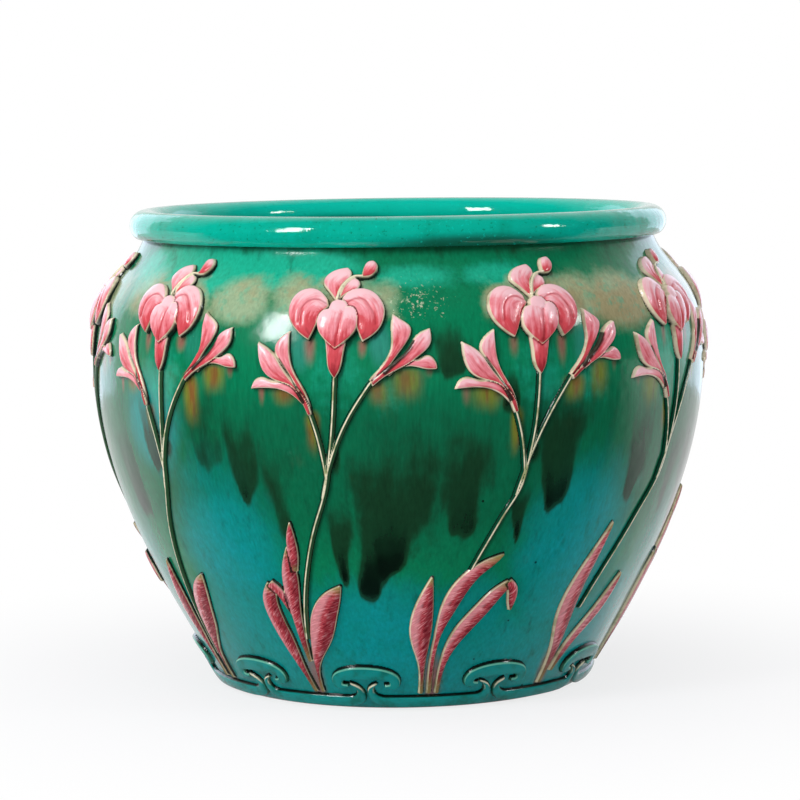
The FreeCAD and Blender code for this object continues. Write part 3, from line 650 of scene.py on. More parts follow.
def smooth_line(points, count, start=None, end=None):
    """A smooth curve through points, as evenly spread samples: a cubic spline with free or set ends."""
    knots = np.array(points, float)
    steps = np.linalg.norm(np.diff(knots, axis=0), axis=1)
    ways = np.concatenate([[0.0], np.cumsum(steps)])
    total = len(knots)
    rows = np.zeros((total, total))
    sides = np.zeros(knots.shape)
    for i in range(1, total - 1):
        before, after = steps[i - 1], steps[i]
        rows[i, i - 1 : i + 2] = (after, 2 * (before + after), before)
        rise_before = after * (knots[i] - knots[i - 1]) / before
        rise_after = before * (knots[i + 1] - knots[i]) / after
        sides[i] = 3 * (rise_before + rise_after)
    for i, inner, step, direction in ((0, 1, steps[0], start), (total - 1, total - 2, steps[-1], end)):
        if direction is None:
            rows[i, i], rows[i, inner] = 2, 1
            sides[i] = 3 * (knots[max(i, inner)] - knots[min(i, inner)]) / step
        else:
            rows[i, i] = 1
            sides[i] = np.array(direction) / np.linalg.norm(direction)
    slopes = np.linalg.solve(rows, sides)
    at = np.linspace(0.0, ways[-1], count)
    k = np.clip(np.searchsorted(ways, at, side="right") - 1, 0, total - 2)
    t = ((at - ways[k]) / steps[k])[:, None]
    step = steps[k][:, None]
    return (
        (2 * t**3 - 3 * t**2 + 1) * knots[k]
        + (t**3 - 2 * t**2 + t) * step * slopes[k]
        + (3 * t**2 - 2 * t**3) * knots[k + 1]
        + (t**3 - t**2) * step * slopes[k + 1]
    )


class Wall:
    """The outside of the wall as a curve in the half section, and places on it."""

    def __init__(self, pot):
        belly, foot, neck = pot.belly_diameter / 2, pot.foot_diameter / 2, pot.neck_diameter / 2
        points = []
        for share in LOWER_SHARES:
            points.append((foot + (belly - foot) * math.sin(share * math.pi / 2), pot.belly_height * share))
        for rise, left_over in SHOULDER_SHARES:
            height = pot.belly_height + (pot.neck_height - pot.belly_height) * rise
            points.append((neck + (belly - neck) * left_over, height))
        points.append((neck, pot.neck_height))
        lead = ((belly - foot) * math.pi / 2, pot.belly_height)
        self.line = smooth_line(points, WALL_SAMPLES, lead, (NECK_LEAN, 1.0))
        steps = np.linalg.norm(np.diff(self.line, axis=0), axis=1)
        self.along = np.concatenate([[0.0], np.cumsum(steps)])
        heading = np.gradient(self.line, self.along, axis=0)
        heading /= np.linalg.norm(heading, axis=1)[:, None]
        self.normal = np.stack([heading[:, 1], -heading[:, 0]], 1)

    def radius(self, along):
        return np.interp(along, self.along, self.line[:, 0])

    def place(self, across, along, height, turn=0.0):
        """Points at a way across and along the wall, raised by a height, turned about the axis."""
        radius = self.radius(along)
        level = np.interp(along, self.along, self.line[:, 1])
        out = np.interp(along, self.along, self.normal[:, 0])
        up = np.interp(along, self.along, self.normal[:, 1])
        angle = turn + across / radius
        reach = radius + height * out
        return np.stack([reach * np.sin(angle), -reach * np.cos(angle), level + height * up], -1)


def smoothstep(low, high, value):
    """An even ease from 0 at low to 1 at high."""
    share = np.clip((value - low) / (high - low), 0.0, 1.0)
    return share * share * (3 - 2 * share)


def wrapped(turn, full=2 * math.pi):
    """A turn brought to the half circle on either side of zero."""
    return (turn + full / 2) % full - full / 2


def line_distance(points, line):
    """Distance from each point to a line of straight pieces."""
    nearest = np.full(len(points), np.inf)
    for start, end in zip(line[:-1], line[1:]):
        way = end - start
        share = np.clip(((points - start) @ way) / max(way @ way, TINY), 0.0, 1.0)
        nearest = np.minimum(nearest, ((points - start - share[:, None] * way) ** 2).sum(1))
    return np.sqrt(nearest)


def inside_distance(points, outline):
    """Distance from each point to a closed outline, positive inside it."""
    closed = np.vstack([outline, outline[:1]])
    inside = np.zeros(len(points), bool)
    for start, end in zip(closed[:-1], closed[1:]):
        crosses = (start[1] > points[:, 1]) != (end[1] > points[:, 1])
        if crosses.any():
            slope = (end[0] - start[0]) / (end[1] - start[1] + TINY)
            at = start[0] + (points[:, 1] - start[1]) * slope
            inside ^= crosses & (points[:, 0] < at)
    distance = line_distance(points, closed)
    return np.where(inside, distance, -distance)


def blurred(field, cells):
    """A field on a grid, softened by a bell curve of so many cells."""
    reach = max(1, int(math.ceil(cells * 3)))
    weights = np.exp(-0.5 * (np.arange(-reach, reach + 1) / cells) ** 2)
    weights /= weights.sum()
    for axis in (0, 1):
        padded = np.pad(field, [(reach, reach) if axis == a else (0, 0) for a in (0, 1)], mode="edge")
        rows = np.arange(field.shape[axis])
        field = sum(w * np.take(padded, rows + i, axis) for i, w in enumerate(weights))
    return field


def moved(points, unit, across=0.0, along=0.0):
    """Shares turned into metres and moved to their foot."""
    return np.array(points, float) * unit + (across, along)


def make_lump(left, right, heights, relief, lip, tint=0.0, vein=0.0, pool=1.0, ran=0.0):
    """One petal, leaf or band: its closed outline, its middle line, its heights and what its glaze does."""
    left, right = smooth_line(left, OUTLINE_SAMPLES), smooth_line(right, OUTLINE_SAMPLES)
    return {
        "outline": np.vstack([left, right[::-1]]),
        "spine": (left + right) / 2,
        "edge": heights[0] * relief,
        "crest": heights[1] * relief,
        "lip": lip,
        "tint": tint,
        "vein": vein,
        "pool": pool,
        "ran": ran,
    }


def strip_edges(points, lefts, rights):
    """The two edges of a strip of varying width along a line of points."""
    spine = np.array(points, float)
    heading = np.gradient(spine, axis=0)
    heading /= np.linalg.norm(heading, axis=1)[:, None]
    side = np.stack([-heading[:, 1], heading[:, 0]], 1)
    return spine + side * np.array(lefts)[:, None], spine - side * np.array(rights)[:, None]


def petal_lump(table, unit, relief, across, along, pool=1.0, ran=0.0):
    """A petal from its table of shares."""
    left, right, *heights = table
    left, right = moved(left, unit, across, along), moved(right, unit, across, along)
    return make_lump(left, right, heights, relief, PETAL_LIP, pool=pool, ran=ran)


def lump_height(lump, distance, sprigs):
    """Height of one lump: a skirt of glaze, a low edge, a rounded crest and a thin lip along the edge."""
    share = np.clip(distance / max(distance.max(), TINY), 0.0, 1.0)
    dome = np.sqrt(1 - (1 - share) ** 2)
    low, high = SKIRT_SHARES
    rise = smoothstep(low * sprigs.skirt, high * sprigs.skirt, distance)
    height = (lump["edge"] + SUNK_SKIRT) * rise - SUNK_SKIRT + (lump["crest"] - lump["edge"]) * dome
    return height + lump["lip"] * np.exp(-(((distance - LIP_INSET) / LIP_WIDTH) ** 2))


def along_spine(points, spine):
    """How far each point lies ahead along a middle line, and how far to its side."""
    ways = np.concatenate([[0.0], np.cumsum(np.linalg.norm(np.diff(spine, axis=0), axis=1))])
    nearest = ((points[:, None] - spine[None]) ** 2).sum(2).argmin(1)
    heading = np.gradient(spine, axis=0)[nearest]
    heading /= np.linalg.norm(heading, axis=1)[:, None]
    offset = points - spine[nearest]
    ahead = ways[nearest] + (offset * heading).sum(1)
    return ahead, heading[:, 0] * offset[:, 1] - heading[:, 1] * offset[:, 0]


def relief_fields(lumps, folds, across, along, sprigs, shade_side):
    """Height of a relief over its grid, with what the glazes need to know at each point."""
    points = np.stack([across.ravel(), along.ravel()], -1)
    distances = np.array([inside_distance(points, lump["outline"]) for lump in lumps])
    heights = np.array([lump_height(lump, distance, sprigs) for lump, distance in zip(lumps, distances)])
    owner = heights.argmax(0)
    index = np.arange(len(points))
    top = heights[owner, index]
    pool = np.zeros(len(points))
    for k in range(1, len(lumps)):
        beside = np.exp(-((np.minimum(distances[k], 0.0) / POOL_WIDTH) ** 2))
        pool = np.where(owner < k, np.maximum(pool, beside), pool)
    pool *= np.array([lump["pool"] for lump in lumps])[owner]
    for line, depth, width, of_lump, strength in folds:
        near = np.exp(-((line_distance(points, smooth_line(line, FOLD_SAMPLES)) / width) ** 2))
        if of_lump is not None:
            near = near * (owner == of_lump)
        top = top - depth * near
        pool = np.maximum(pool, strength * near)
    run, ahead, aside, tint = np.zeros((4, len(points)))
    for k, lump in enumerate(lumps):
        mine = owner == k
        if not mine.any():
            continue
        low, high = lump["outline"][:, 1].min(), lump["outline"][:, 1].max()
        run[mine] = lump["ran"] + (high - points[mine, 1]) / (high - low)
        ahead[mine], aside[mine] = along_spine(points[mine], lump["spine"])
        tint[mine] = lump["tint"]
        if lump["vein"]:
            slant = (ahead[mine] + VEIN_SLANT * aside[mine]) / VEIN_SPACING
            groove = 0.5 + 0.5 * np.cos(2 * math.pi * slant)
            top[mine] -= lump["vein"] * groove * smoothstep(*VEIN_FADE, distances[k, mine])
    shape = across.shape
    top = blurred(top.reshape(shape), SOFTENING / sprigs.grid)
    reach = distances.max(0)
    rise_along, rise_across = np.gradient(blurred(reach.reshape(shape), 1.0))
    steep = np.hypot(rise_along, rise_across) + TINY
    # how far each point's outward way points to shade_side, where the painted shadow line falls
    side = -(rise_across * shade_side[0] + rise_along * shade_side[1]) / steep
    thick = np.clip(blurred(top, HOLLOW_SPREAD / sprigs.grid) - top, *HOLLOW_LIMITS)
    return {
        "height": top.ravel(),
        "reach": reach,
        "glaze": np.stack([distances[owner, index] / MM, run, np.clip(pool, 0.0, 1.0)], -1),
        "grain": np.stack([aside / MM, ahead / MM, tint], -1),
        "body": np.stack([thick.ravel() / MM, 0.5 + 0.5 * side.ravel(), np.zeros(len(points))], -1),
    }


def set_points(mesh, points):
    mesh.vertices.foreach_set("co", np.ascontiguousarray(points, np.float32).ravel())
    mesh.update()


def get_points(mesh):
    flat = np.zeros(len(mesh.vertices) * 3, np.float32)
    mesh.vertices.foreach_get("co", flat)
    return flat.reshape(-1, 3).astype(float)


def set_vector(mesh, name, values):
    attribute = mesh.attributes.get(name) or mesh.attributes.new(name, "FLOAT_VECTOR", "POINT")
    attribute.data.foreach_set("vector", np.ascontiguousarray(values, np.float32).ravel())


def get_vector(mesh, name):
    flat = np.zeros(len(mesh.vertices) * 3, np.float32)
    mesh.attributes[name].data.foreach_get("vector", flat)
    return flat.reshape(-1, 3)


def start_piece():
    """Leaves edit mode and deselects everything."""
    if bpy.context.object and bpy.context.object.mode != "OBJECT":
        bpy.ops.object.mode_set(mode="OBJECT")
    bpy.ops.object.select_all(action="DESELECT")


def join_pieces(pieces):
    """Pieces joined into the first of them."""
    start_piece()
    for piece in pieces:
        piece.select_set(True)
    bpy.context.view_layer.objects.active = pieces[0]
    bpy.ops.object.join()
    return pieces[0]


def finish_piece(obj, name, nodes, materials):
    """Names a piece, gives it its glazes and lets it stand for its CAD nodes."""
    obj.name = name
    obj.data.name = name
    for material in materials:
        obj.data.materials.append(material)
    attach(obj, "root")
    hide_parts(*nodes)


def make_relief(wall, sprigs, lumps, folds=(), shade_side=(0.0, 1.0)):
    """A closed relief at the front of the pot, on a fine grid that is cut to the lumps and backed."""
    outlines = np.vstack([lump["outline"] for lump in lumps])
    low, high = outlines.min(0) - 2 * sprigs.skirt, outlines.max(0) + 2 * sprigs.skirt
    low[1] = max(low[1], 0.0)
    counts = np.ceil((high - low) / sprigs.grid).astype(int)
    start_piece()
    bpy.ops.mesh.primitive_grid_add(x_subdivisions=int(counts[0]), y_subdivisions=int(counts[1]), size=1.0)
    obj = bpy.context.object
    mesh = obj.data
    flat = get_points(mesh)[:, :2]
    flat = (flat - flat.min(0)) / (flat.max(0) - flat.min(0)) * (high - low) + low
    columns = len(np.unique(np.round(flat[:, 0], GRID_DIGITS)))
    across, along = flat[:, 0].reshape(-1, columns), flat[:, 1].reshape(-1, columns)
    fields = relief_fields(lumps, folds, across, along, sprigs, shade_side)
    set_points(mesh, wall.place(flat[:, 0], flat[:, 1], fields["height"]))
    set_vector(mesh, "seat", wall.place(flat[:, 0], flat[:, 1], np.full(len(flat), -sprigs.sink)))
    for name in ("glaze", "grain", "body"):
        set_vector(mesh, name, fields[name])
    bpy.context.tool_settings.mesh_select_mode = (True, False, False)
    mesh.polygons.foreach_set("select", np.zeros(len(mesh.polygons), bool))
    mesh.edges.foreach_set("select", np.zeros(len(mesh.edges), bool))
    mesh.vertices.foreach_set("select", fields["reach"] < -sprigs.skirt)
    bpy.ops.object.mode_set(mode="EDIT")
    bpy.ops.mesh.delete(type="VERT")
    bpy.ops.mesh.select_all(action="SELECT")
    bpy.ops.mesh.delete_loose()
    bpy.ops.mesh.select_all(action="SELECT")
    bpy.ops.mesh.extrude_region()
    bpy.ops.object.mode_set(mode="OBJECT")
    raised = np.zeros(len(mesh.vertices), bool)
    mesh.vertices.foreach_get("select", raised)
    set_points(mesh, np.where(raised[:, None], get_points(mesh), get_vector(mesh, "seat")))
    mesh.attributes.remove(mesh.attributes["seat"])
    bpy.ops.object.mode_set(mode="EDIT")
    bpy.ops.mesh.select_all(action="SELECT")
    bpy.ops.mesh.normals_make_consistent(inside=False)
    bpy.ops.object.mode_set(mode="OBJECT")
    bpy.ops.object.shade_smooth()
    return obj


def turned_copy(obj, angle, seed):
    """A copy of a relief, turned about the pot's axis in its mesh, with its own seed for the glaze."""
    copy = obj.copy()
    copy.data = obj.data.copy()
    copy.data.materials.clear()
    bpy.context.scene.collection.objects.link(copy)
    copy.data.transform(Matrix.Rotation(angle, 4, "Z"))
    body = get_vector(copy.data, "body")
    body[:, 2] = seed
    set_vector(copy.data, "body", body)
    return copy


def spray_pieces(kinds, base, materials, shifts=None):
    """One piece for each spray, copied from the relief of its kind and turned to its place."""
    pitch = 2 * math.pi / len(SPRAY_TUFTS)
    for index, kind in enumerate(SPRAY_TUFTS):
        shift = shifts[index] if shifts else 0.0
        label = f"{base}_{index + 1:02d}"
        piece = turned_copy(kinds[kind], pitch * (index + shift), index * SEED_STEP)
        finish_piece(piece, f"{label}_look", [label], materials)
    for obj in set(kinds.values()):
        bpy.data.objects.remove(obj)


def add(tree, kind, inputs=None, **settings):
    """A shader node of one kind, with its settings, and values or other nodes in its sockets."""
    node = tree.nodes.new("ShaderNode" + kind)
    for key, value in settings.items():
        setattr(node, key, value)
    for key, value in (inputs or {}).items():
        if isinstance(key, int):
            socket = node.inputs[key]
        else:
            socket = next(s for s in node.inputs if s.enabled and s.name == key)
        if isinstance(value, bpy.types.Node):
            value = next(s for s in value.outputs if s.enabled)
        if isinstance(value, bpy.types.NodeSocket):
            tree.links.new(value, socket)
        else:
            socket.default_value = value
    return node


def new_material(name, tint):
    """An empty material, shown in the viewport in its main colour."""
    material = bpy.data.materials.new(name)
    material.use_nodes = True
    material.node_tree.nodes.clear()
    material.diffuse_color = tint
    return material, material.node_tree


def painted(tree, name):
    """The three values that a piece's mesh carries under one name."""
    vector = add(tree, "Attribute", attribute_name=name).outputs["Vector"]
    return add(tree, "SeparateXYZ", {0: vector}).outputs


def coats(tree, shade, *layers):
    """A colour with glazes laid over it in order. Each has its colour, the field that it follows, the
    field's values where there is none of it and the most of it, and how much the most is."""
    for over, field, none, full, most in layers:
        limits = {"Value": field, "From Min": none, "From Max": full, "To Max": most}
        share = add(tree, "MapRange", limits, interpolation_type="SMOOTHSTEP")
        shade = add(tree, "Mix", {"Factor": share, "A": shade, "B": over}, data_type="RGBA")
    return shade


def finish_glaze(tree, shade, roughness, ripple, depth):
    """Ends a glaze: a clear glassy surface over its colour, with slow ripples and a fine orange peel."""
    place = add(tree, "TexCoord").outputs["Object"]
    slow = add(tree, "TexNoise", {**SLOW_NOISE, "Vector": place, "Scale": 1 / ripple})
    peel = add(tree, "TexNoise", {**SLOW_NOISE, "Vector": place, "Scale": 1 / PEEL_SIZE})
    rippled = add(tree, "Bump", {"Height": slow, "Distance": depth, "Strength": 1.0})
    peeled = add(tree, "Bump", {"Height": peel, "Distance": PEEL_DEPTH, "Strength": 1.0, "Normal": rippled})
    glass = {"Base Color": shade, "Roughness": roughness, "IOR": GLAZE_IOR, "Normal": peeled}
    add(tree, "OutputMaterial", {"Surface": add(tree, "BsdfPrincipled", glass)})


def green_glaze(paints):
    """Lead glaze of the wall: emerald to teal, black green where it ran thick, sandy where it is thin, with
    painted shade beside the sprigs and under the lip and painted reflections as milky haze.
    """
    material, tree = new_material("green_glaze", paints.emerald)
    place = add(tree, "TexCoord").outputs["Object"]
    long = add(tree, "Mapping", {"Vector": place, "Scale": RUN_STRETCH})
    clouds = add(tree, "TexNoise", {**NOISE, "Vector": place, "Scale": 1 / CLOUD_SIZE})
    mottle = add(tree, "TexNoise", {**FINE_NOISE, "Vector": place, "Scale": 1 / MOTTLE_SIZE})
    streaks = add(tree, "TexNoise", {**NOISE, "Vector": long, "Scale": 1 / STREAK_SIZE})
    brush = add(tree, "TexNoise", {**SOFT_NOISE, "Vector": long, "Scale": 1 / BRUSH_SIZE})
    specks = add(tree, "TexNoise", {**NOISE, "Vector": place, "Scale": 1 / FLECK_SIZE})
    pits = add(tree, "TexVoronoi", {"Vector": place, "Scale": 1 / PIT_SPACING}).outputs["Distance"]
    dark, teal, sand = painted(tree, "patches")
    rust, pink, reflection_haze = painted(tree, "runs")
    deep, under, flecks = painted(tree, "bands")
    shade_line, halo, bright = painted(tree, "sides")
    broad = add(tree, "Math", {0: clouds, 1: 0.6}, operation="MULTIPLY")
    wander = add(tree, "Math", {0: streaks, 1: 0.4, 2: broad}, operation="MULTIPLY_ADD")
    speckled = add(tree, "Math", {0: mottle, 1: 0.5, 2: broad}, operation="MULTIPLY_ADD")
    flecked = add(tree, "Math", {0: flecks, 1: 0.2, 2: specks}, operation="MULTIPLY_ADD")

    def uneven(field, noise, amount):
        """A field whose borders wander with a noise."""
        moved_down = add(tree, "Math", {0: field, 1: 0.5 * amount}, operation="SUBTRACT")
        return add(tree, "Math", {0: noise, 1: amount, 2: moved_down}, operation="MULTIPLY_ADD")

    clay = coats(
        tree,
        paints.sand,
        (paints.tan, clouds, 0.42, 0.62, 1.0),
        (paints.bright, mottle, 0.50, 0.70, 0.45),
    )
    earth = coats(tree, paints.rust, (paints.ochre, streaks, 0.40, 0.60, 1.0))
    shade = coats(
        tree,
        paints.emerald,
        (paints.deep, uneven(deep, wander, 1.3), 0.20, 1.15, 0.6),
        (paints.teal, uneven(teal, wander, 1.0), 0.10, 0.85, 1.0),
        (paints.turquoise, uneven(teal, speckled, 1.5), 0.80, 1.40, 0.65),
        (paints.bright, uneven(bright, speckled, 1.0), 0.15, 0.85, 0.92),
        (paints.deep, streaks, 0.52, 0.78, 0.5),
        # painted reflection as milky haze
        (paints.reflection_haze, uneven(reflection_haze, wander, 0.9), 0.25, 1.05, 0.55),
        (clay, uneven(sand, speckled, 1.3), 0.28, 0.95, 0.9),
        (clay, uneven(halo, speckled, 1.0), 0.36, 1.05, 0.75),
        (paints.dark, uneven(dark, wander, 1.0), 0.10, 0.55, 0.92),
        (paints.black, uneven(dark, wander, 0.6), 0.60, 1.0, 0.9),
        (earth, uneven(rust, wander, 0.9), 0.08, 0.80, 0.74),
        (paints.run, uneven(pink, wander, 0.7), 0.12, 1.05, 0.75),
        (paints.fleck, flecked, 0.78, 0.90, 0.8),
        # painted shade under the lip, partly glaze pooled there
        (paints.dark, uneven(under, streaks, 0.8), 0.2, 1.0, 0.7),
        # painted shadow on the wall beside the stems and below right of the petals
        (paints.black, shade_line, 0.1, 1.0, 0.7),
        (paints.black, pits, 0.034, 0.020, 0.8),
    )
    limits = {"Value": brush, "From Min": 0.3, "From Max": 0.7, "To Min": 0.86, "To Max": 1.12}
    fine = add(tree, "MapRange", limits)
    shade = add(tree, "Mix", {"Factor": 1.0, "A": shade, "B": fine}, data_type="RGBA", blend_type="MULTIPLY")
    finish_glaze(tree, shade, *WALL_SURFACE)
    return material


def plain_glaze(name, thin, thick, size, speck_and_light, pooled):
    """Lead glaze of one colour, a little deeper in soft clouds, with fine pale and dark specks; where the
    mesh carries them, painted shade on the lip's underside and painted light on the lip's inner face.
    """
    material, tree = new_material(name, thin)
    place = add(tree, "TexCoord").outputs["Object"]
    long = add(tree, "Mapping", {"Vector": place, "Scale": LIP_STRETCH})
    clouds = add(tree, "TexNoise", {**NOISE, "Vector": long, "Scale": 1 / size})
    grains = add(tree, "TexNoise", {**SOFT_NOISE, "Vector": place, "Scale": 1 / GRAIN_SIZE})
    lip_shade, clear = painted(tree, "lip_shade")[:2]
    shade = coats(
        tree,
        thin,
        (thick, clouds, 0.45, 0.85, 0.75),
        (thick, grains, 0.60, 0.72, 0.8),
        # painted light on the lip's inner face
        (speck_and_light, clear, 0.0, 1.0, 0.6),
        # painted shade and dark reflection on the lip's underside
        (pooled, lip_shade, 0.10, 0.90, 0.8),
        (speck_and_light, grains, 0.40, 0.28, 0.5),
    )
    finish_glaze(tree, shade, *LIP_SURFACE)
    return material


def petal_glaze(paints):
    """Pink lead glaze: pale where thin, coral to wine where it ran, cream on edges, dark in creases, and a
    painted shadow along the petals' lower right edges.
    """
    material, tree = new_material("pink_glaze", paints.pink)
    place = add(tree, "TexCoord").outputs["Object"]
    edge, run, pool = painted(tree, "glaze")
    thick, side, seed = painted(tree, "body")
    aside, ahead, tint = painted(tree, "grain")
    slow = add(tree, "Math", {0: ahead, 1: PETAL_STRETCH}, operation="MULTIPLY")
    flow = add(tree, "CombineXYZ", {"X": aside, "Y": slow, "Z": seed})
    streaks = add(tree, "TexNoise", {**NOISE, "Vector": flow, "Scale": 1 / PETAL_STREAK})
    clouds = add(tree, "TexNoise", {**SOFT_NOISE, "Vector": place, "Scale": 1 / PETAL_CLOUD})
    depth = run
    for field, share in ((streaks, 0.85), (clouds, 0.55), (thick, 0.40)):
        depth = add(tree, "Math", {0: field, 1: share, 2: depth}, operation="MULTIPLY_ADD")
    shadow_side = add(tree, "Math", {0: side, 1: -0.9, 2: edge}, operation="MULTIPLY_ADD")
    rim = coats(tree, paints.cream, (paints.olive, clouds, 0.48, 0.66, 0.5))
    shade = coats(
        tree,
        paints.pale,
        (paints.pink, depth, 0.78, 1.14, 1.0),
        (paints.coral, depth, 1.09, 1.40, 1.0),
        (paints.wine, depth, 1.42, 1.78, 0.9),
        (paints.wine, pool, 0.25, 0.85, 0.85),
        (paints.cream, tint, 0.0, 1.0, 1.0),
        (rim, edge, 0.85, 0.45, 0.88),
        (paints.line, pool, 0.50, 0.88, 0.9),
        # painted shadow along the petals' lower right edges, partly glaze pooled there
        (paints.line, shadow_side, -0.25, -0.90, 1.0),
    )
    finish_glaze(tree, shade, *PETAL_SURFACE)
    return material


def leaf_glaze(paints):
    """Crimson lead glaze of the leaves, with slanting paler streaks, thin cream edges and olive tips, painted
    light on their left halves and painted shade on their right halves and upper right edges.
    """
    material, tree = new_material("crimson_glaze", paints.leaf)
    place = add(tree, "TexCoord").outputs["Object"]
    edge, run, pool = painted(tree, "glaze")
    thick, side, seed = painted(tree, "body")
    aside, ahead = painted(tree, "grain")[:2]
    slant = add(tree, "Math", {0: aside, 1: VEIN_SLANT, 2: ahead}, operation="MULTIPLY_ADD")
    across = add(tree, "Math", {0: aside, 1: LEAF_STRETCH}, operation="MULTIPLY")
    flow = add(tree, "CombineXYZ", {"X": slant, "Y": across, "Z": seed})
    streaks = add(tree, "TexNoise", {**SOFT_NOISE, "Vector": flow, "Scale": 1 / LEAF_STREAK})
    clouds = add(tree, "TexNoise", {**SOFT_NOISE, "Vector": place, "Scale": 1 / LEAF_CLOUD})
    leaf_shadow_side = add(tree, "Math", {0: side, 1: -1.0, 2: edge}, operation="MULTIPLY_ADD")
    rim = coats(tree, paints.leaf_edge, (paints.olive, clouds, 0.48, 0.66, 0.5))
    shade = coats(
        tree,
        paints.leaf,
        (paints.leaf_pale, streaks, 0.50, 0.66, 0.60),
        (paints.leaf_dark, streaks, 0.47, 0.34, 0.8),
        # painted light and shade: each leaf lighter on its left half and darker on its right half
        (paints.leaf_pale, aside, 0.4, 3.2, 0.5),
        (paints.leaf_dark, aside, -0.2, -3.0, 0.55),
        (paints.leaf_dark, run, 0.66, 0.86, 0.6),
        (paints.olive, run, 0.80, 0.98, 0.6),
        (paints.leaf_dark, thick, 0.02, 0.25, 0.7),
        (paints.olive, run, 0.10, 0.0, 0.8),
        (rim, edge, 0.58, 0.30, 0.9),
        (paints.line, pool, 0.6, 1.0, 0.9),
        # dark line along the leaves' upper right edges, painted shadow and partly glaze pooled there
        (paints.line, leaf_shadow_side, -0.25, -0.90, 1.0),
    )
    finish_glaze(tree, shade, *LEAF_SURFACE)
    return material


def stem_glaze(paints):
    """Thin glaze of the stems: the clay shows cream along the crest, and green pools down the flanks."""
    material, tree = new_material("stem_glaze", paints.cream)
    place = add(tree, "TexCoord").outputs["Object"]
    edge = painted(tree, "glaze")[0]
    aside = painted(tree, "grain")[0]
    clouds = add(tree, "TexNoise", {**SOFT_NOISE, "Vector": place, "Scale": 1 / LEAF_CLOUD})
    beside = add(tree, "Math", {0: aside, 1: 0.2}, operation="ADD")
    off_crest = add(tree, "Math", {0: beside}, operation="ABSOLUTE")
    crest = coats(tree, paints.cream, (paints.olive, clouds, 0.45, 0.65, 0.8))
    shade = coats(
        tree,
        paints.stem_flank,
        (paints.olive, aside, 0.1, 0.7, 0.1),
        (crest, off_crest, 0.56, 0.26, 1.0),
        (paints.black, edge, 0.25, -0.35, 0.85),
    )
    finish_glaze(tree, shade, *STEM_SURFACE)
    return material


def band_glaze(name, paints, ridge, heights):
    """Turquoise glaze of the foot's bands, thin on the ridges along their edges, dark where it pools."""
    material, tree = new_material(name, paints.band)
    place = add(tree, "TexCoord").outputs["Object"]
    edge = painted(tree, "glaze")[0]
    side = painted(tree, "body")[1]
    clouds = add(tree, "TexNoise", {**NOISE, "Vector": place, "Scale": 1 / BAND_CLOUD})
    height = add(tree, "SeparateXYZ", {0: place}).outputs["Z"]
    lower = add(tree, "Math", {0: side, 1: -1.2, 2: edge}, operation="MULTIPLY_ADD")
    upper = add(tree, "Math", {0: side, 1: -1.1, 2: edge}, operation="MULTIPLY_ADD")
    plain = coats(tree, paints.band, (paints.deep, clouds, 0.45, 0.70, 0.5))
    thin = coats(tree, plain, (ridge, height, *heights, 1.0))
    shade = coats(
        tree,
        plain,
        (thin, lower, 0.25, -0.35, 0.9),
        (paints.deep, edge, 0.40, 0.10, 0.9),
        (paints.black, upper, -0.45, -1.2, 1.0),
    )
    finish_glaze(tree, shade, *BAND_SURFACE)
    return material


def bare_clay(paints):
    """Unglazed fired clay of the standing ring, matte and gritty."""
    material, tree = new_material("bare_clay", paints.clay)
    place = add(tree, "TexCoord").outputs["Object"]
    grit = add(tree, "TexNoise", {**NOISE, "Vector": place, "Scale": 1 / GRIT_SIZE})
    shade = coats(tree, paints.clay, (paints.tan, grit, 0.4, 0.65, 0.7))
    bump = add(tree, "Bump", {"Height": grit, "Distance": GRIT_DEPTH, "Strength": 1.0})
    matte = {"Base Color": shade, "Roughness": CLAY_ROUGHNESS, "Normal": bump}
    add(tree, "OutputMaterial", {"Surface": add(tree, "BsdfPrincipled", matte)})
    return material


def patch_sum(patches, angle, height):
    """Strength of a set of soft patches at each place, with the front's patches again on the back."""
    total = np.zeros(len(angle))
    for degrees, share, half_turn, half_height, strength in patches:
        for back in BOTH_SIDES:
            off = wrapped(np.degrees(angle) - degrees - back, 360.0)
            far = (off / half_turn) ** 2 + ((height - share) / half_height) ** 2
            total = np.maximum(total, strength * np.exp(-PATCH_FALL * far**PATCH_POWER))
    return total


def waves(table, angle, height):
    """Waves of several sizes that run round the wall and up it."""
    return sum(size * np.sin(around * angle + up * height) for size, around, up in table)


def drip_sum(drips, angle, height):
    """Strength of the dark glaze in its drips, faint at the top and full at the rounded lower end."""
    total = np.zeros(len(angle))
    turn = np.degrees(angle) + DRIP_SWAY * waves(SWAY_WAVES, angle, height)
    level = height + DRIP_LIFT * waves(LIFT_WAVES, angle, height)
    for top_turn, top, low_turn, low, top_half, low_half, strength in drips:
        down = (top - level) / (top - low)
        part = np.clip(down, 0.0, 1.0)
        for back in BOTH_SIDES:
            off = wrapped(turn - (top_turn + (low_turn - top_turn) * part + back), 360.0)
            aside = np.abs(off) / (top_half + (low_half - top_half) * part)
            tip = low + DRIP_ROUNDNESS * low_half * aside**2
            full = sum(most * smoothstep(start, end, down) for most, start, end in DRIP_PARTS)
            full *= smoothstep(tip - DRIP_SOFTNESS, tip + DRIP_SOFTNESS, level)
            full *= 1 - smoothstep(*DRIP_SIDES, aside)
            total = np.maximum(total, strength * full)
    return total


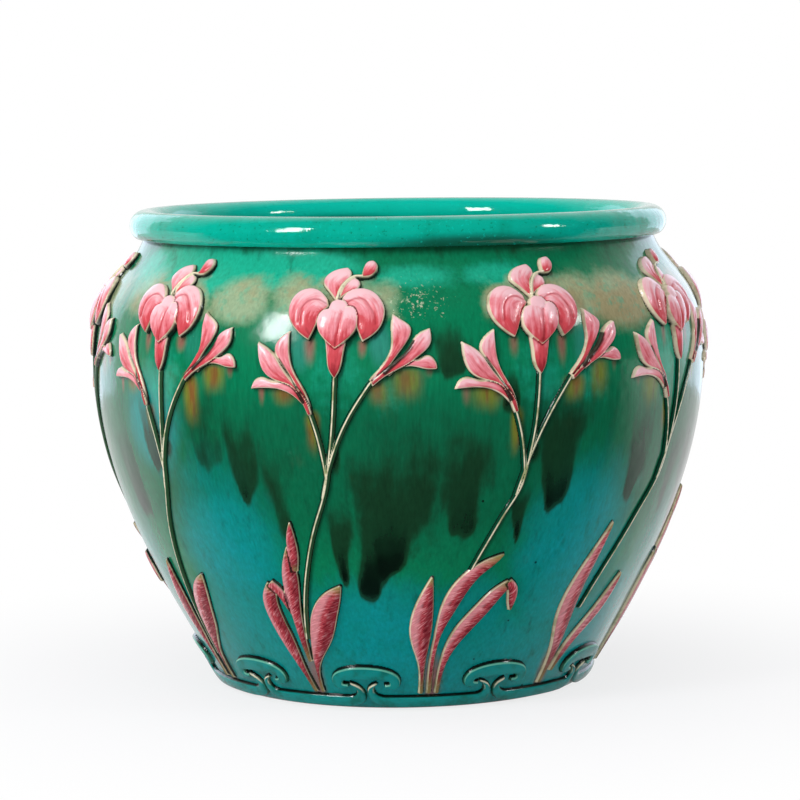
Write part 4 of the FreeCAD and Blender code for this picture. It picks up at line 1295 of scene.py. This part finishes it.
def run_sum(runs, angle, along, wall, sprigs, seed):
    """Strength of the runs of glaze below every spray, each of its own length."""
    random = np.random.default_rng(seed)
    total = np.zeros(len(angle))
    radius, unit = wall.radius(along), sprigs.flower_height
    for index in range(sprigs.spray_count):
        off = wrapped(angle - 2 * math.pi * index / sprigs.spray_count)
        for across, start, half, drop in runs:
            half, drop = half * random.uniform(*RUN_WIDTHS), drop * random.uniform(*RUN_LENGTHS)
            aside = (off * radius / unit - across) / half
            down = (sprigs.spray_height + start * unit - along) / (drop * unit)
            strength = np.exp(-(aside**2)) * smoothstep(*RUN_HEAD, down) * (1 - smoothstep(*RUN_TAIL, down))
            total = np.maximum(total, strength * random.uniform(*RUN_STRENGTHS))
    return total


def wall_sides(wall, sprigs, angle, along):
    """Painted shadow on the wall to the right of the stems and below right of the petals, and thin glaze
    round the flowers' upper petals.
    """
    pitch = 2 * math.pi / sprigs.spray_count
    radius = wall.radius(along)
    dark, halo = np.zeros((2, len(angle)))
    low, high = (sprigs.spray_height + share * sprigs.flower_height for share in SHADE_RANGE)
    rows = np.flatnonzero((along > low) & (along < high))
    points = np.stack([wrapped(angle[rows], pitch) * radius[rows], along[rows]], -1)
    outlines = []
    for parts in (flower_parts(sprigs), *blossom_parts(sprigs)):
        outlines += [lump["outline"] for lump in parts[0]]
    near = np.max([inside_distance(points, outline) for outline in outlines], axis=0)
    below = np.max([inside_distance(points - PETAL_SHADE, outline) for outline in outlines], axis=0)
    rise = (along[rows] - sprigs.spray_height) / sprigs.flower_height
    upper = smoothstep(*HALO_FOOT, rise) * (1 - smoothstep(*HALO_TOP, rise))
    halo[rows] = smoothstep(-HALO_WIDTH, 0.0, near) * (HALO_LEAST + (1 - HALO_LEAST) * upper)
    # painted shadow: the petals' outlines moved to the lower right
    dark[rows] = PETAL_DARK * smoothstep(*PETAL_SHADE_EDGE, below)
    for index, kind in enumerate(SPRAY_TUFTS):
        off = wrapped(angle - pitch * index)
        rows = np.flatnonzero(np.abs(off) < STEM_SHADE_REACH * pitch)
        points = np.stack([off[rows] * radius[rows], along[rows]], -1)
        # painted shadow: each stem's line moved to the right
        for line in stem_lines(wall, sprigs, kind):
            beside = line_distance(points - STEM_SHADE, smooth_line(line, OUTLINE_SAMPLES))
            dark[rows] = np.maximum(dark[rows], STEM_DARK * np.exp(-((beside / STEM_SHADE_WIDTH) ** 2)))
    return dark, halo


def foot_wash(wall, sprigs, angle, along):
    """Crimson glaze washed down between the stalks of each tuft."""
    total = np.zeros(len(angle))
    up = (along - sprigs.tuft_height) / sprigs.leaf_length
    band = smoothstep(*WASH_FOOT, up) * (1 - smoothstep(*WASH_TOP, up))
    spread = WASH_WIDTH * (1 + WASH_SPREAD * np.clip(up, 0.0, 1.0))
    for index, kind in enumerate(SPRAY_TUFTS):
        off = wrapped(angle - 2 * math.pi * index / sprigs.spray_count)
        aside = off * wall.radius(along) - tuft_across(wall, sprigs, kind, along)
        total = np.maximum(total, WASH_STRENGTH * np.exp(-((aside / spread) ** 2)) * band)
    return total


def wall_section(pot, wall):
    """The wall's closed half section, and which of its stretches are outside, inside or the foot's ring."""
    start = np.searchsorted(wall.along, pot.foot_rounding)
    outside = wall.line[np.linspace(start, len(wall.line) - 1, WALL_ROWS).astype(int)]
    ground = np.array((pot.foot_diameter / 2 - pot.foot_rounding, 0.0))
    corner = np.array((pot.foot_diameter / 2, 0.0))
    rounding = []
    for t in ROUNDING_SHARES:
        rounding.append(ground * (1 - t) ** 2 + corner * 2 * t * (1 - t) + outside[0] * t**2)
    floor_top = pot.floor_recess + pot.floor_thickness
    inner = wall.line - wall.normal * pot.wall
    inner = inner[(inner[:, 1] > floor_top + pot.wall) & (inner[:, 1] < pot.neck_height - NECK_CLEARANCE)]
    knots = [(pot.floor_diameter / 2, floor_top)]
    knots += list(inner[np.linspace(0, len(inner) - 1, INNER_KNOTS).astype(int)])
    knots.append((pot.neck_diameter / 2 - pot.wall, pot.neck_height))
    inside = smooth_line(knots, INNER_ROWS)[::-1]
    seat = [(pot.floor_diameter / 2, 0.0)]
    kinds = np.repeat((0, 1, 2), (len(rounding) + len(outside), len(inside) - 1, 1 + len(seat)))
    return np.vstack([rounding, outside, inside, seat]), kinds


def spun_section(section):
    """A closed half section spun about the pot's axis."""
    start_piece()
    bpy.ops.mesh.primitive_circle_add(vertices=len(section), radius=1.0, fill_type="NOTHING")
    obj = bpy.context.object
    set_points(obj.data, np.stack([section[:, 0], np.zeros(len(section)), section[:, 1]], -1))
    bpy.ops.object.mode_set(mode="EDIT")
    bpy.ops.mesh.select_all(action="SELECT")
    bpy.ops.mesh.spin(steps=WALL_STEPS, angle=2 * math.pi, center=(0.0, 0.0, 0.0), axis=(0.0, 0.0, 1.0))
    bpy.ops.mesh.select_all(action="SELECT")
    bpy.ops.mesh.remove_doubles(threshold=DOUBLES)
    bpy.ops.mesh.normals_make_consistent(inside=False)
    bpy.ops.object.mode_set(mode="OBJECT")
    bpy.ops.object.shade_smooth_by_angle(angle=SHARP_EDGE)
    return obj


def section_stretches(mesh, section):
    """Which stretch of its section each face of a spun mesh comes from."""
    middles = np.zeros(len(mesh.polygons) * 3, np.float32)
    mesh.polygons.foreach_get("center", middles)
    middles = middles.reshape(-1, 3)
    flat = np.stack([np.hypot(middles[:, 0], middles[:, 1]), middles[:, 2]], -1)
    pairs = (section + np.roll(section, -1, axis=0)) / 2
    nearest = np.empty(len(flat), int)
    for first in range(0, len(flat), FACES_AT_ONCE):
        faces = slice(first, first + FACES_AT_ONCE)
        nearest[faces] = ((flat[faces, None] - pairs[None]) ** 2).sum(2).argmin(1)
    return nearest


def paint_wall(mesh, wall, pot, sprigs):
    """Writes on the wall's mesh where its glaze pools, thins and runs, where shade is painted beside the
    sprigs and under the lip, and where reflections are painted as haze.
    """
    points = get_points(mesh)
    angle = np.arctan2(points[:, 0], -points[:, 1])
    along = np.interp(points[:, 2], wall.line[:, 1], wall.along)
    share = points[:, 2] / (pot.neck_height - pot.roll_sunk + 2 * pot.roll_radius)
    dark = run_sum(DARK_RUNS, angle, along, wall, sprigs, DARK_SEED)
    dark = np.maximum(dark, drip_sum(DRIPS, angle, share))
    foot = FOOT_STRENGTH * (1 - smoothstep(*FOOT_BAND, share))
    teal = np.maximum(patch_sum(TEAL_PATCHES, angle, share), foot)
    rust = run_sum(RUST_RUNS, angle, along, wall, sprigs, RUST_SEED)
    pink = run_sum(PINK_RUNS, angle, along, wall, sprigs, PINK_SEED)
    pink = np.maximum(pink, foot_wash(wall, sprigs, angle, along))
    deep = smoothstep(*DEEP_FOOT, share) * (1 - smoothstep(*DEEP_TOP, share))
    sand, reflection_haze, flecks, bright = (
        patch_sum(patches, angle, share)
        for patches in (SAND_PATCHES, REFLECTION_PATCHES, FLECK_PATCHES, BRIGHT_PATCHES)
    )
    # painted shadow beside the sprigs, thin glaze round the flowers, and bright green patches
    shade, halo = wall_sides(wall, sprigs, angle, along)
    set_vector(mesh, "patches", np.stack([dark, teal, sand], -1))
    # third of runs: the painted reflection haze
    set_vector(mesh, "runs", np.stack([rust, pink, reflection_haze], -1))
    # second of bands: the painted shade under the lip
    set_vector(mesh, "bands", np.stack([deep, smoothstep(*UNDER_LIP_SHADE, share), flecks], -1))
    set_vector(mesh, "sides", np.stack([shade, halo, bright], -1))


class POT_OT_wall(bpy.types.Operator):
    """Turns the wall from its half section and lays out where its glaze pools, thins and runs, and where
    light and shade are painted
    """

    bl_idname = "pot.wall"
    bl_label = "Make wall"

    def execute(self, context):
        pot, sprigs, paints = context.scene.pot_sizes, context.scene.pot_sprigs, context.scene.pot_paints
        wall = Wall(pot)
        section, kinds = wall_section(pot, wall)
        obj = spun_section(section)
        paint_wall(obj.data, wall, pot, sprigs)
        stretches = section_stretches(obj.data, section)
        inside = plain_glaze("inner_glaze", paints.inner, paints.deep, INNER_CLOUD, paints.fleck, paints.dark)
        materials = [green_glaze(paints), inside, bare_clay(paints)]
        finish_piece(obj, "pot_wall", ["body_wall"], materials)
        obj.data.polygons.foreach_set("material_index", kinds[stretches].astype(np.int32))
        return {"FINISHED"}


class POT_OT_lip(bpy.types.Operator):
    """Makes the rolled lip, flat where it is seated on the neck"""

    bl_idname = "pot.lip"
    bl_label = "Make lip"

    def execute(self, context):
        pot, paints = context.scene.pot_sizes, context.scene.pot_paints
        level = pot.neck_height + pot.roll_radius - pot.roll_sunk
        start_piece()
        bpy.ops.mesh.primitive_torus_add(
            major_radius=pot.roll_diameter / 2,
            minor_radius=pot.roll_radius,
            major_segments=LIP_STEPS,
            minor_segments=LIP_ROWS,
            location=(0.0, 0.0, level),
        )
        bpy.ops.object.transform_apply(location=True, rotation=True, scale=True)
        obj = context.object
        points = get_points(obj.data)
        points[:, 2] = np.maximum(points[:, 2], pot.neck_height)
        set_points(obj.data, points)
        bpy.ops.object.shade_smooth()
        angle = np.arctan2(points[:, 0], -points[:, 1])
        # painted shade and dark reflection on the underside, and painted light on the inner face
        lip_shade = patch_sum(LIP_SHADE_PATCHES, angle, (level - points[:, 2]) / pot.roll_radius)
        reach = np.hypot(points[:, 0], points[:, 1]) - pot.roll_diameter / 2
        clear = 1 - smoothstep(LIP_LIT_INSIDE * pot.roll_radius, 0.0, reach)
        set_vector(obj.data, "lip_shade", np.stack([lip_shade, clear, np.zeros(len(points))], -1))
        glaze = plain_glaze("rim_glaze", paints.lip, paints.lip_deep, LIP_CLOUD, paints.inner, paints.dark)
        finish_piece(obj, "rolled_lip", ["rim_roll"], [glaze])
        return {"FINISHED"}


class POT_OT_floor(bpy.types.Operator):
    """Makes the floor disc, glazed above and bare below"""

    bl_idname = "pot.floor"
    bl_label = "Make floor"

    def execute(self, context):
        pot, paints = context.scene.pot_sizes, context.scene.pot_paints
        start_piece()
        bpy.ops.mesh.primitive_cylinder_add(
            vertices=FLOOR_STEPS,
            radius=pot.floor_diameter / 2,
            depth=pot.floor_thickness,
            location=(0.0, 0.0, pot.floor_recess + pot.floor_thickness / 2),
        )
        bpy.ops.object.transform_apply(location=True, rotation=True, scale=True)
        obj = context.object
        glaze = plain_glaze("floor_glaze", paints.inner, paints.deep, INNER_CLOUD, paints.fleck, paints.dark)
        finish_piece(obj, "pot_floor", ["floor_disc"], [glaze, bare_clay(paints)])
        for face in obj.data.polygons:
            face.material_index = int(face.normal.z < DOWNWARD)
        return {"FINISHED"}


def flower_parts(sprigs):
    """The petals, the bud and its stalk of an open flower, and the folds pressed into them."""
    unit, relief, foot = sprigs.flower_height, sprigs.flower_relief, sprigs.spray_height
    lumps = [petal_lump(table, unit, relief, 0.0, foot, pool, ran) for table, pool, ran in FLOWER_PETALS]
    half = [BUD_STALK_HALF * unit] * len(BUD_STALK)
    left, right = strip_edges(moved(BUD_STALK, unit, 0.0, foot), half, half)
    lumps.append(make_lump(left, right, BUD_STALK_HEIGHTS, relief, 0.0, tint=1.0))
    folds = [(moved(line, unit, 0.0, foot), *press) for line, *press in FLOWER_FOLDS]
    return lumps, folds


def blossom_feet(sprigs):
    """Where the left and the right side blossom stand."""
    return (
        (sprigs.left_across, sprigs.spray_height - sprigs.left_drop),
        (sprigs.right_across, sprigs.spray_height - sprigs.right_drop),
    )


def blossom_parts(sprigs):
    """The petals and folds of the left and the right side blossom."""
    left_foot, right_foot = blossom_feet(sprigs)
    sides = (
        (LEFT_PETALS, LEFT_FOLDS, sprigs.blossom_length, *left_foot),
        (RIGHT_PETALS, RIGHT_FOLDS, sprigs.blossom_length * RIGHT_SIZE, *right_foot),
    )
    parts = []
    for petals, creases, size, across, along in sides:
        lumps = []
        for table in petals:
            lumps.append(petal_lump(table, size, sprigs.blossom_relief, across, along, ran=BLOSSOM_RAN))
        folds = [(moved(line, size, across, along), *press) for line, *press in creases]
        parts.append((lumps, folds))
    return parts


class POT_OT_flowers(bpy.types.Operator):
    """Presses the open flowers with their buds"""

    bl_idname = "pot.flowers"
    bl_label = "Make flowers"

    def execute(self, context):
        sprigs, paints = context.scene.pot_sprigs, context.scene.pot_paints
        flower = make_relief(Wall(context.scene.pot_sizes), sprigs, *flower_parts(sprigs), PETAL_SHADOW_SIDE)
        spray_pieces(dict.fromkeys(TUFTS, flower), "flower_head", [petal_glaze(paints)])
        return {"FINISHED"}


class POT_OT_blossoms(bpy.types.Operator):
    """Presses the pairs of half-open side blossoms"""

    bl_idname = "pot.blossoms"
    bl_label = "Make side blossoms"

    def execute(self, context):
        sprigs, paints = context.scene.pot_sprigs, context.scene.pot_paints
        wall = Wall(context.scene.pot_sizes)
        pair = join_pieces([make_relief(wall, sprigs, *parts, PETAL_SHADOW_SIDE) for parts in blossom_parts(sprigs)])
        spray_pieces(dict.fromkeys(TUFTS, pair), "side_blossoms", [petal_glaze(paints)])
        return {"FINISHED"}


def tuft_across(wall, sprigs, kind, along):
    """How far a tuft's foot stands from the flower's line at a height on the wall."""
    return 2 * math.pi / sprigs.spray_count * TUFT_PLACES[kind] * wall.radius(along)


def stem_lines(wall, sprigs, kind):
    """The main stem's points from the tube to the leaves, and those of the two side stems."""
    join_across, join = sprigs.join_across, sprigs.spray_height - sprigs.join_drop
    main = []
    for ease, drop in FLOWER_STEM:
        main.append((join_across * ease, sprigs.spray_height - sprigs.join_drop * drop))
    for share in MAIN_STEM:
        drop = share * STEM_ENDS[kind]
        along = join + (sprigs.tuft_height - join) * drop
        ease = math.sin(drop * math.pi / 2)
        main.append((join_across + (tuft_across(wall, sprigs, kind, along) - join_across) * ease, along))
    lines = [np.array(main)]
    for (across, along), rise in zip(blossom_feet(sprigs), JOIN_RISES):
        end = join + rise * sprigs.join_drop
        end_across = np.interp(-end, -lines[0][:, 1], lines[0][:, 0])
        shares = np.array(SIDE_STEM)
        lines.append((across, along) + shares * (end_across - across, end - along))
    return lines


class POT_OT_stems(bpy.types.Operator):
    """Lays the stems from the flowers down to the leaves"""

    bl_idname = "pot.stems"
    bl_label = "Make stems"

    def execute(self, context):
        sprigs, paints = context.scene.pot_sprigs, context.scene.pot_paints
        wall = Wall(context.scene.pot_sizes)
        kinds = {}
        for kind in TUFTS:
            lumps = []
            for line in stem_lines(wall, sprigs, kind):
                half = [sprigs.stem_width / 2] * len(line)
                left, right = strip_edges(line, half, half)
                lumps.append(make_lump(left, right, STEM_HEIGHTS, sprigs.stem_relief, 0.0))
            kinds[kind] = make_relief(wall, sprigs, lumps)
        spray_pieces(kinds, "stems", [stem_glaze(paints)])
        return {"FINISHED"}


class POT_OT_leaves(bpy.types.Operator):
    """Presses the tufts of leaves"""

    bl_idname = "pot.leaves"
    bl_label = "Make leaves"

    def execute(self, context):
        sprigs, paints = context.scene.pot_sprigs, context.scene.pot_paints
        wall = Wall(context.scene.pot_sizes)
        wide = sprigs.leaf_length * LEAF_FULLNESS
        kinds = {}
        for kind, tables in TUFTS.items():
            lumps = []
            for table in tables:
                rows = np.array(table)
                line = moved(rows[:, :2], sprigs.leaf_length, 0.0, sprigs.tuft_height)
                line[:, 0] += tuft_across(wall, sprigs, kind, line[:, 1])
                left, right = strip_edges(line, rows[:, 2] * wide, rows[:, 3] * wide)
                leaf = make_lump(left, right, LEAF_HEIGHTS, sprigs.leaf_relief, LEAF_LIP, vein=VEIN_DEPTH)
                lumps.append(leaf)
            kinds[kind] = make_relief(wall, sprigs, lumps, (), LEAF_SHADOW_SIDE)
        spray_pieces(kinds, "leaf_tuft", [leaf_glaze(paints)])
        return {"FINISHED"}


def scroll_cap(wall, sprigs):
    """The relief of one scroll cap, its right half mirrored from the left."""
    rows = np.array(HALF_CAP)
    rows = np.vstack([rows, rows[-2::-1] * (-1, 1, 1, 1)])
    line = rows[:, :2] * (sprigs.cap_width, sprigs.cap_height)
    left, right = strip_edges(line, rows[:, 2] * sprigs.cap_width, rows[:, 3] * sprigs.cap_width)
    return make_relief(wall, sprigs, [make_lump(left, right, CAP_HEIGHTS, sprigs.cap_relief, CAP_LIP)])


def foot_straps(wall, sprigs):
    """The reliefs of the straps, each from one scroll cap to the next, in their places round the foot."""
    pitch = 2 * math.pi / sprigs.spray_count
    spacing = pitch * float(wall.radius(sprigs.strap_height))
    rows = np.array(STRAP_END)
    ends = rows[:, :2] * spacing
    half = np.concatenate([rows[:, 2], rows[::-1, 2]]) * sprigs.strap_height
    straps = []
    for index, shift in enumerate(CAP_SHIFTS):
        span = 1 + CAP_SHIFTS[(index + 1) % len(CAP_SHIFTS)] - shift
        line = np.vstack([ends, (ends * (-1, 1) + (span * spacing, 0.0))[::-1]])
        left, right = strip_edges(line, half, half)
        band = make_lump(left, right, STRAP_HEIGHTS, sprigs.strap_relief, STRAP_LIP)
        strap = make_relief(wall, sprigs, [band])
        strap.data.transform(Matrix.Rotation(pitch * (index + shift), 4, "Z"))
        straps.append(strap)
    return straps


class POT_OT_bands(bpy.types.Operator):
    """Presses the scroll caps and the straps round the foot"""

    bl_idname = "pot.bands"
    bl_label = "Make foot bands"

    def execute(self, context):
        sprigs, paints = context.scene.pot_sprigs, context.scene.pot_paints
        wall = Wall(context.scene.pot_sizes)
        caps = dict.fromkeys(TUFTS, scroll_cap(wall, sprigs))
        cap_glaze = band_glaze("turquoise_glaze", paints, paints.band_ridge, CAP_RIDGE)
        spray_pieces(caps, "scroll_cap", [cap_glaze], CAP_SHIFTS)
        straps = join_pieces(foot_straps(wall, sprigs))
        strap_glaze = band_glaze("strap_glaze", paints, paints.cream, STRAP_CREAM)
        finish_piece(straps, "foot_straps_look", ["foot_straps"], [strap_glaze])
        return {"FINISHED"}


class StageSettings(bpy.types.PropertyGroup):
    """The photographer's set: camera, floor and lights."""

    camera_turn: angle("Camera turn", "Camera round the pot", 11.2)
    camera_pitch: angle("Camera pitch", "Camera looking down", 5.80)
    camera_roll: angle("Camera roll", "Camera leaning", -0.67)
    camera_distance: length("Camera distance", "Camera from the pot's axis", 1.985)
    camera_height: length("Camera height", "Camera above the floor", 0.3848)
    focal_length: bpy.props.FloatProperty(
        name="Focal length", description="Lens in millimetres", default=135.45
    )
    floor_size: length("Floor size", "Side of the pale floor", 14.0)
    shadow_reach: length("Shadow reach", "Way from the axis over which the floor fades to plain white", 0.46)
    room_light: bpy.props.FloatProperty(
        name="Room light", description="Strength of the light from all round", default=0.30
    )


# Lights: degrees round from the camera, degrees up, distance, width and height in metres, power in watts,
# whether it lights the clay, whether it shows in the glaze
LIGHTS = (
    ("key_window", -45.0, 27.0, 1.7, 0.30, 0.70, 13.0, True, True),
    ("right_window", 67.0, 25.0, 1.9, 0.22, 0.36, 5.0, True, True),
    ("left_card", -144.0, 6.0, 1.5, 0.85, 1.5, 4.9, False, True),
    ("right_card", 144.0, 6.0, 1.5, 0.85, 1.5, 4.7, False, True),
    ("left_fill", -115.0, 14.0, 2.0, 1.2, 1.6, 7.0, True, False),
    ("top_fill", -10.0, 72.0, 2.0, 1.8, 1.8, 13.0, True, False),
    ("front_fill", -4.0, 3.0, 2.4, 1.8, 1.2, 9.0, True, False),
)
LIGHT_AIM = (0.0, 0.0, 0.18)
LAMP_TINT = (1.0, 1.0, 1.0)
CARD_TINT = (0.58, 0.76, 1.0)
ROOM_TINT = (0.90, 0.92, 1.0, 1.0)
WHITE = (1.0, 1.0, 1.0, 1.0)
CLIP_START = 0.05
# Where the floor's shadow starts to fade and how white it is there, how far behind the pot the floor and the
# backdrop mirror as white, and how much of the room's light the glaze doesn't mirror
SHADOW_START = 0.12
SHADOW_WHITE = 0.78
FLOOR_BEHIND = (-0.16, 0.06)
ROOM_BEHIND = (0.1, 0.7)
ROOM_UNMIRRORED = 0.9


def rays(tree, place, stage, behind):
    """How far a ray is the camera's own or has come through glass, is mirrored, and is mirrored from behind
    the pot, seen from the camera."""
    path = add(tree, "LightPath").outputs
    back = (-math.sin(stage.camera_turn), math.cos(stage.camera_turn), 0.0)
    depth = add(tree, "VectorMath", {0: place, 1: back}, operation="DOT_PRODUCT").outputs["Value"]
    share = add(tree, "MapRange", {"Value": depth, "From Min": behind[0], "From Max": behind[1]})
    mirrored = path["Is Glossy Ray"]
    from_behind = add(tree, "Math", {0: share, 1: mirrored}, operation="MULTIPLY")
    seen = add(tree, "Math", {0: path["Is Camera Ray"], 1: path["Is Transmission Ray"]}, operation="ADD")
    return seen, mirrored, from_behind


def pale_floor(paints, stage):
    """Matte pale paper that keeps the pot's shadow and fades to plain white away from it."""
    material, tree = new_material("pale_floor", paints.ground)
    place = add(tree, "TexCoord").outputs["Object"]
    seen, mirrored, from_behind = rays(tree, place, stage, FLOOR_BEHIND)
    away = add(tree, "VectorMath", {0: place}, operation="LENGTH").outputs["Value"]
    limits = {"Value": away, "From Min": SHADOW_START, "From Max": stage.shadow_reach, "To Min": SHADOW_WHITE}
    white = add(tree, "MapRange", limits, interpolation_type="SMOOTHSTEP")
    level = add(tree, "Math", {0: from_behind, 1: seen}, operation="ADD")
    camera_share = add(tree, "Math", {0: white, 1: seen}, operation="MULTIPLY")
    share = add(tree, "Math", {0: camera_share, 1: mirrored}, operation="ADD")
    matte = add(tree, "BsdfDiffuse", {"Color": paints.ground})
    glow = add(tree, "Emission", {"Color": WHITE, "Strength": level})
    add(tree, "OutputMaterial", {"Surface": add(tree, "MixShader", {0: share, 1: matte, 2: glow})})
    return material


def studio_room(stage):
    """A dim room with a white backdrop: white to the camera, and to the glaze where it faces back."""
    world = bpy.data.worlds.new("studio_room")
    world.use_nodes = True
    tree = world.node_tree
    tree.nodes.clear()
    way = add(tree, "TexCoord").outputs["Generated"]
    seen, mirrored, from_behind = rays(tree, way, stage, ROOM_BEHIND)
    white = add(tree, "Math", {0: from_behind, 1: seen}, operation="MAXIMUM")
    dim = add(tree, "Math", {0: mirrored, 1: -ROOM_UNMIRRORED, 2: 1.0}, operation="MULTIPLY_ADD")
    level = add(tree, "Math", {0: dim, 1: stage.room_light}, operation="MULTIPLY")
    room = add(tree, "Background", {"Color": ROOM_TINT, "Strength": level})
    backdrop = add(tree, "Background", {"Color": WHITE, "Strength": 1.0})
    add(tree, "OutputWorld", {"Surface": add(tree, "MixShader", {0: white, 1: room, 2: backdrop})})
    return world


def aimed(turn, rise):
    """A turn that looks at the axis from a way round the pot and up from the floor."""
    return Matrix.Rotation(turn, 4, "Z") @ Matrix.Rotation(math.pi / 2 - rise, 4, "X")


class POT_OT_stage(bpy.types.Operator):
    """Sets the floor, the lights and the camera"""

    bl_idname = "pot.stage"
    bl_label = "Set the stage"

    def execute(self, context):
        scene, stage, paints = context.scene, context.scene.pot_stage, context.scene.pot_paints
        start_piece()
        bpy.ops.mesh.primitive_plane_add(size=stage.floor_size)
        floor = context.object
        floor.name = "floor"
        floor.data.materials.append(pale_floor(paints, stage))
        scene.world = studio_room(stage)
        for name, turn, rise, far, wide, tall, power, lights_clay, shows in LIGHTS:
            bpy.ops.object.light_add(type="AREA")
            lamp = context.object
            lamp.name = name
            lamp.data.shape = "RECTANGLE"
            lamp.data.size = wide
            lamp.data.size_y = tall
            lamp.data.energy = power
            lamp.data.color = LAMP_TINT if lights_clay else CARD_TINT
            lamp.visible_camera = False
            lamp.visible_diffuse = lights_clay
            lamp.visible_glossy = shows
            aim = aimed(math.radians(turn) + stage.camera_turn, math.radians(rise))
            lamp.matrix_world = Matrix.Translation(LIGHT_AIM) @ aim @ Matrix.Translation((0.0, 0.0, far))
        bpy.ops.object.camera_add()
        camera = context.object
        aim = aimed(stage.camera_turn, stage.camera_pitch) @ Matrix.Rotation(stage.camera_roll, 4, "Z")
        east, front = math.sin(stage.camera_turn), -math.cos(stage.camera_turn)
        place = (stage.camera_distance * east, stage.camera_distance * front, stage.camera_height)
        camera.matrix_world = Matrix.Translation(place) @ aim
        camera.data.lens = stage.focal_length
        camera.data.clip_start = CLIP_START
        scene.camera = camera
        scene.view_settings.view_transform = "Standard"
        return {"FINISHED"}


class POT_PT_panel(bpy.types.Panel):
    """Buttons for the flower pot"""

    bl_label = "Flower pot"
    bl_idname = "POT_PT_panel"
    bl_space_type = "VIEW_3D"
    bl_region_type = "UI"
    bl_category = "Flower pot"

    def draw(self, context):
        for operator in OPERATORS:
            self.layout.operator(operator.bl_idname)


OPERATORS = (
    POT_OT_wall,
    POT_OT_lip,
    POT_OT_floor,
    POT_OT_flowers,
    POT_OT_blossoms,
    POT_OT_stems,
    POT_OT_leaves,
    POT_OT_bands,
    POT_OT_stage,
)
GROUPS = (
    ("pot_sizes", PotSizes),
    ("pot_sprigs", SprigSizes),
    ("pot_paints", GlazeColours),
    ("pot_stage", StageSettings),
)


def register():
    for name, group in GROUPS:
        bpy.utils.register_class(group)
        setattr(bpy.types.Scene, name, bpy.props.PointerProperty(type=group))
    for kind in (*OPERATORS, POT_PT_panel):
        bpy.utils.register_class(kind)


def unregister():
    for kind in (POT_PT_panel, *reversed(OPERATORS)):
        bpy.utils.unregister_class(kind)
    for name, group in reversed(GROUPS):
        delattr(bpy.types.Scene, name)
        bpy.utils.unregister_class(group)


def main():
    register()
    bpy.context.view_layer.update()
    for operator in OPERATORS:
        group, name = operator.bl_idname.split(".")
        getattr(getattr(bpy.ops, group), name)()
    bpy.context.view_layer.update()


if __name__ == "__main__":
    main()
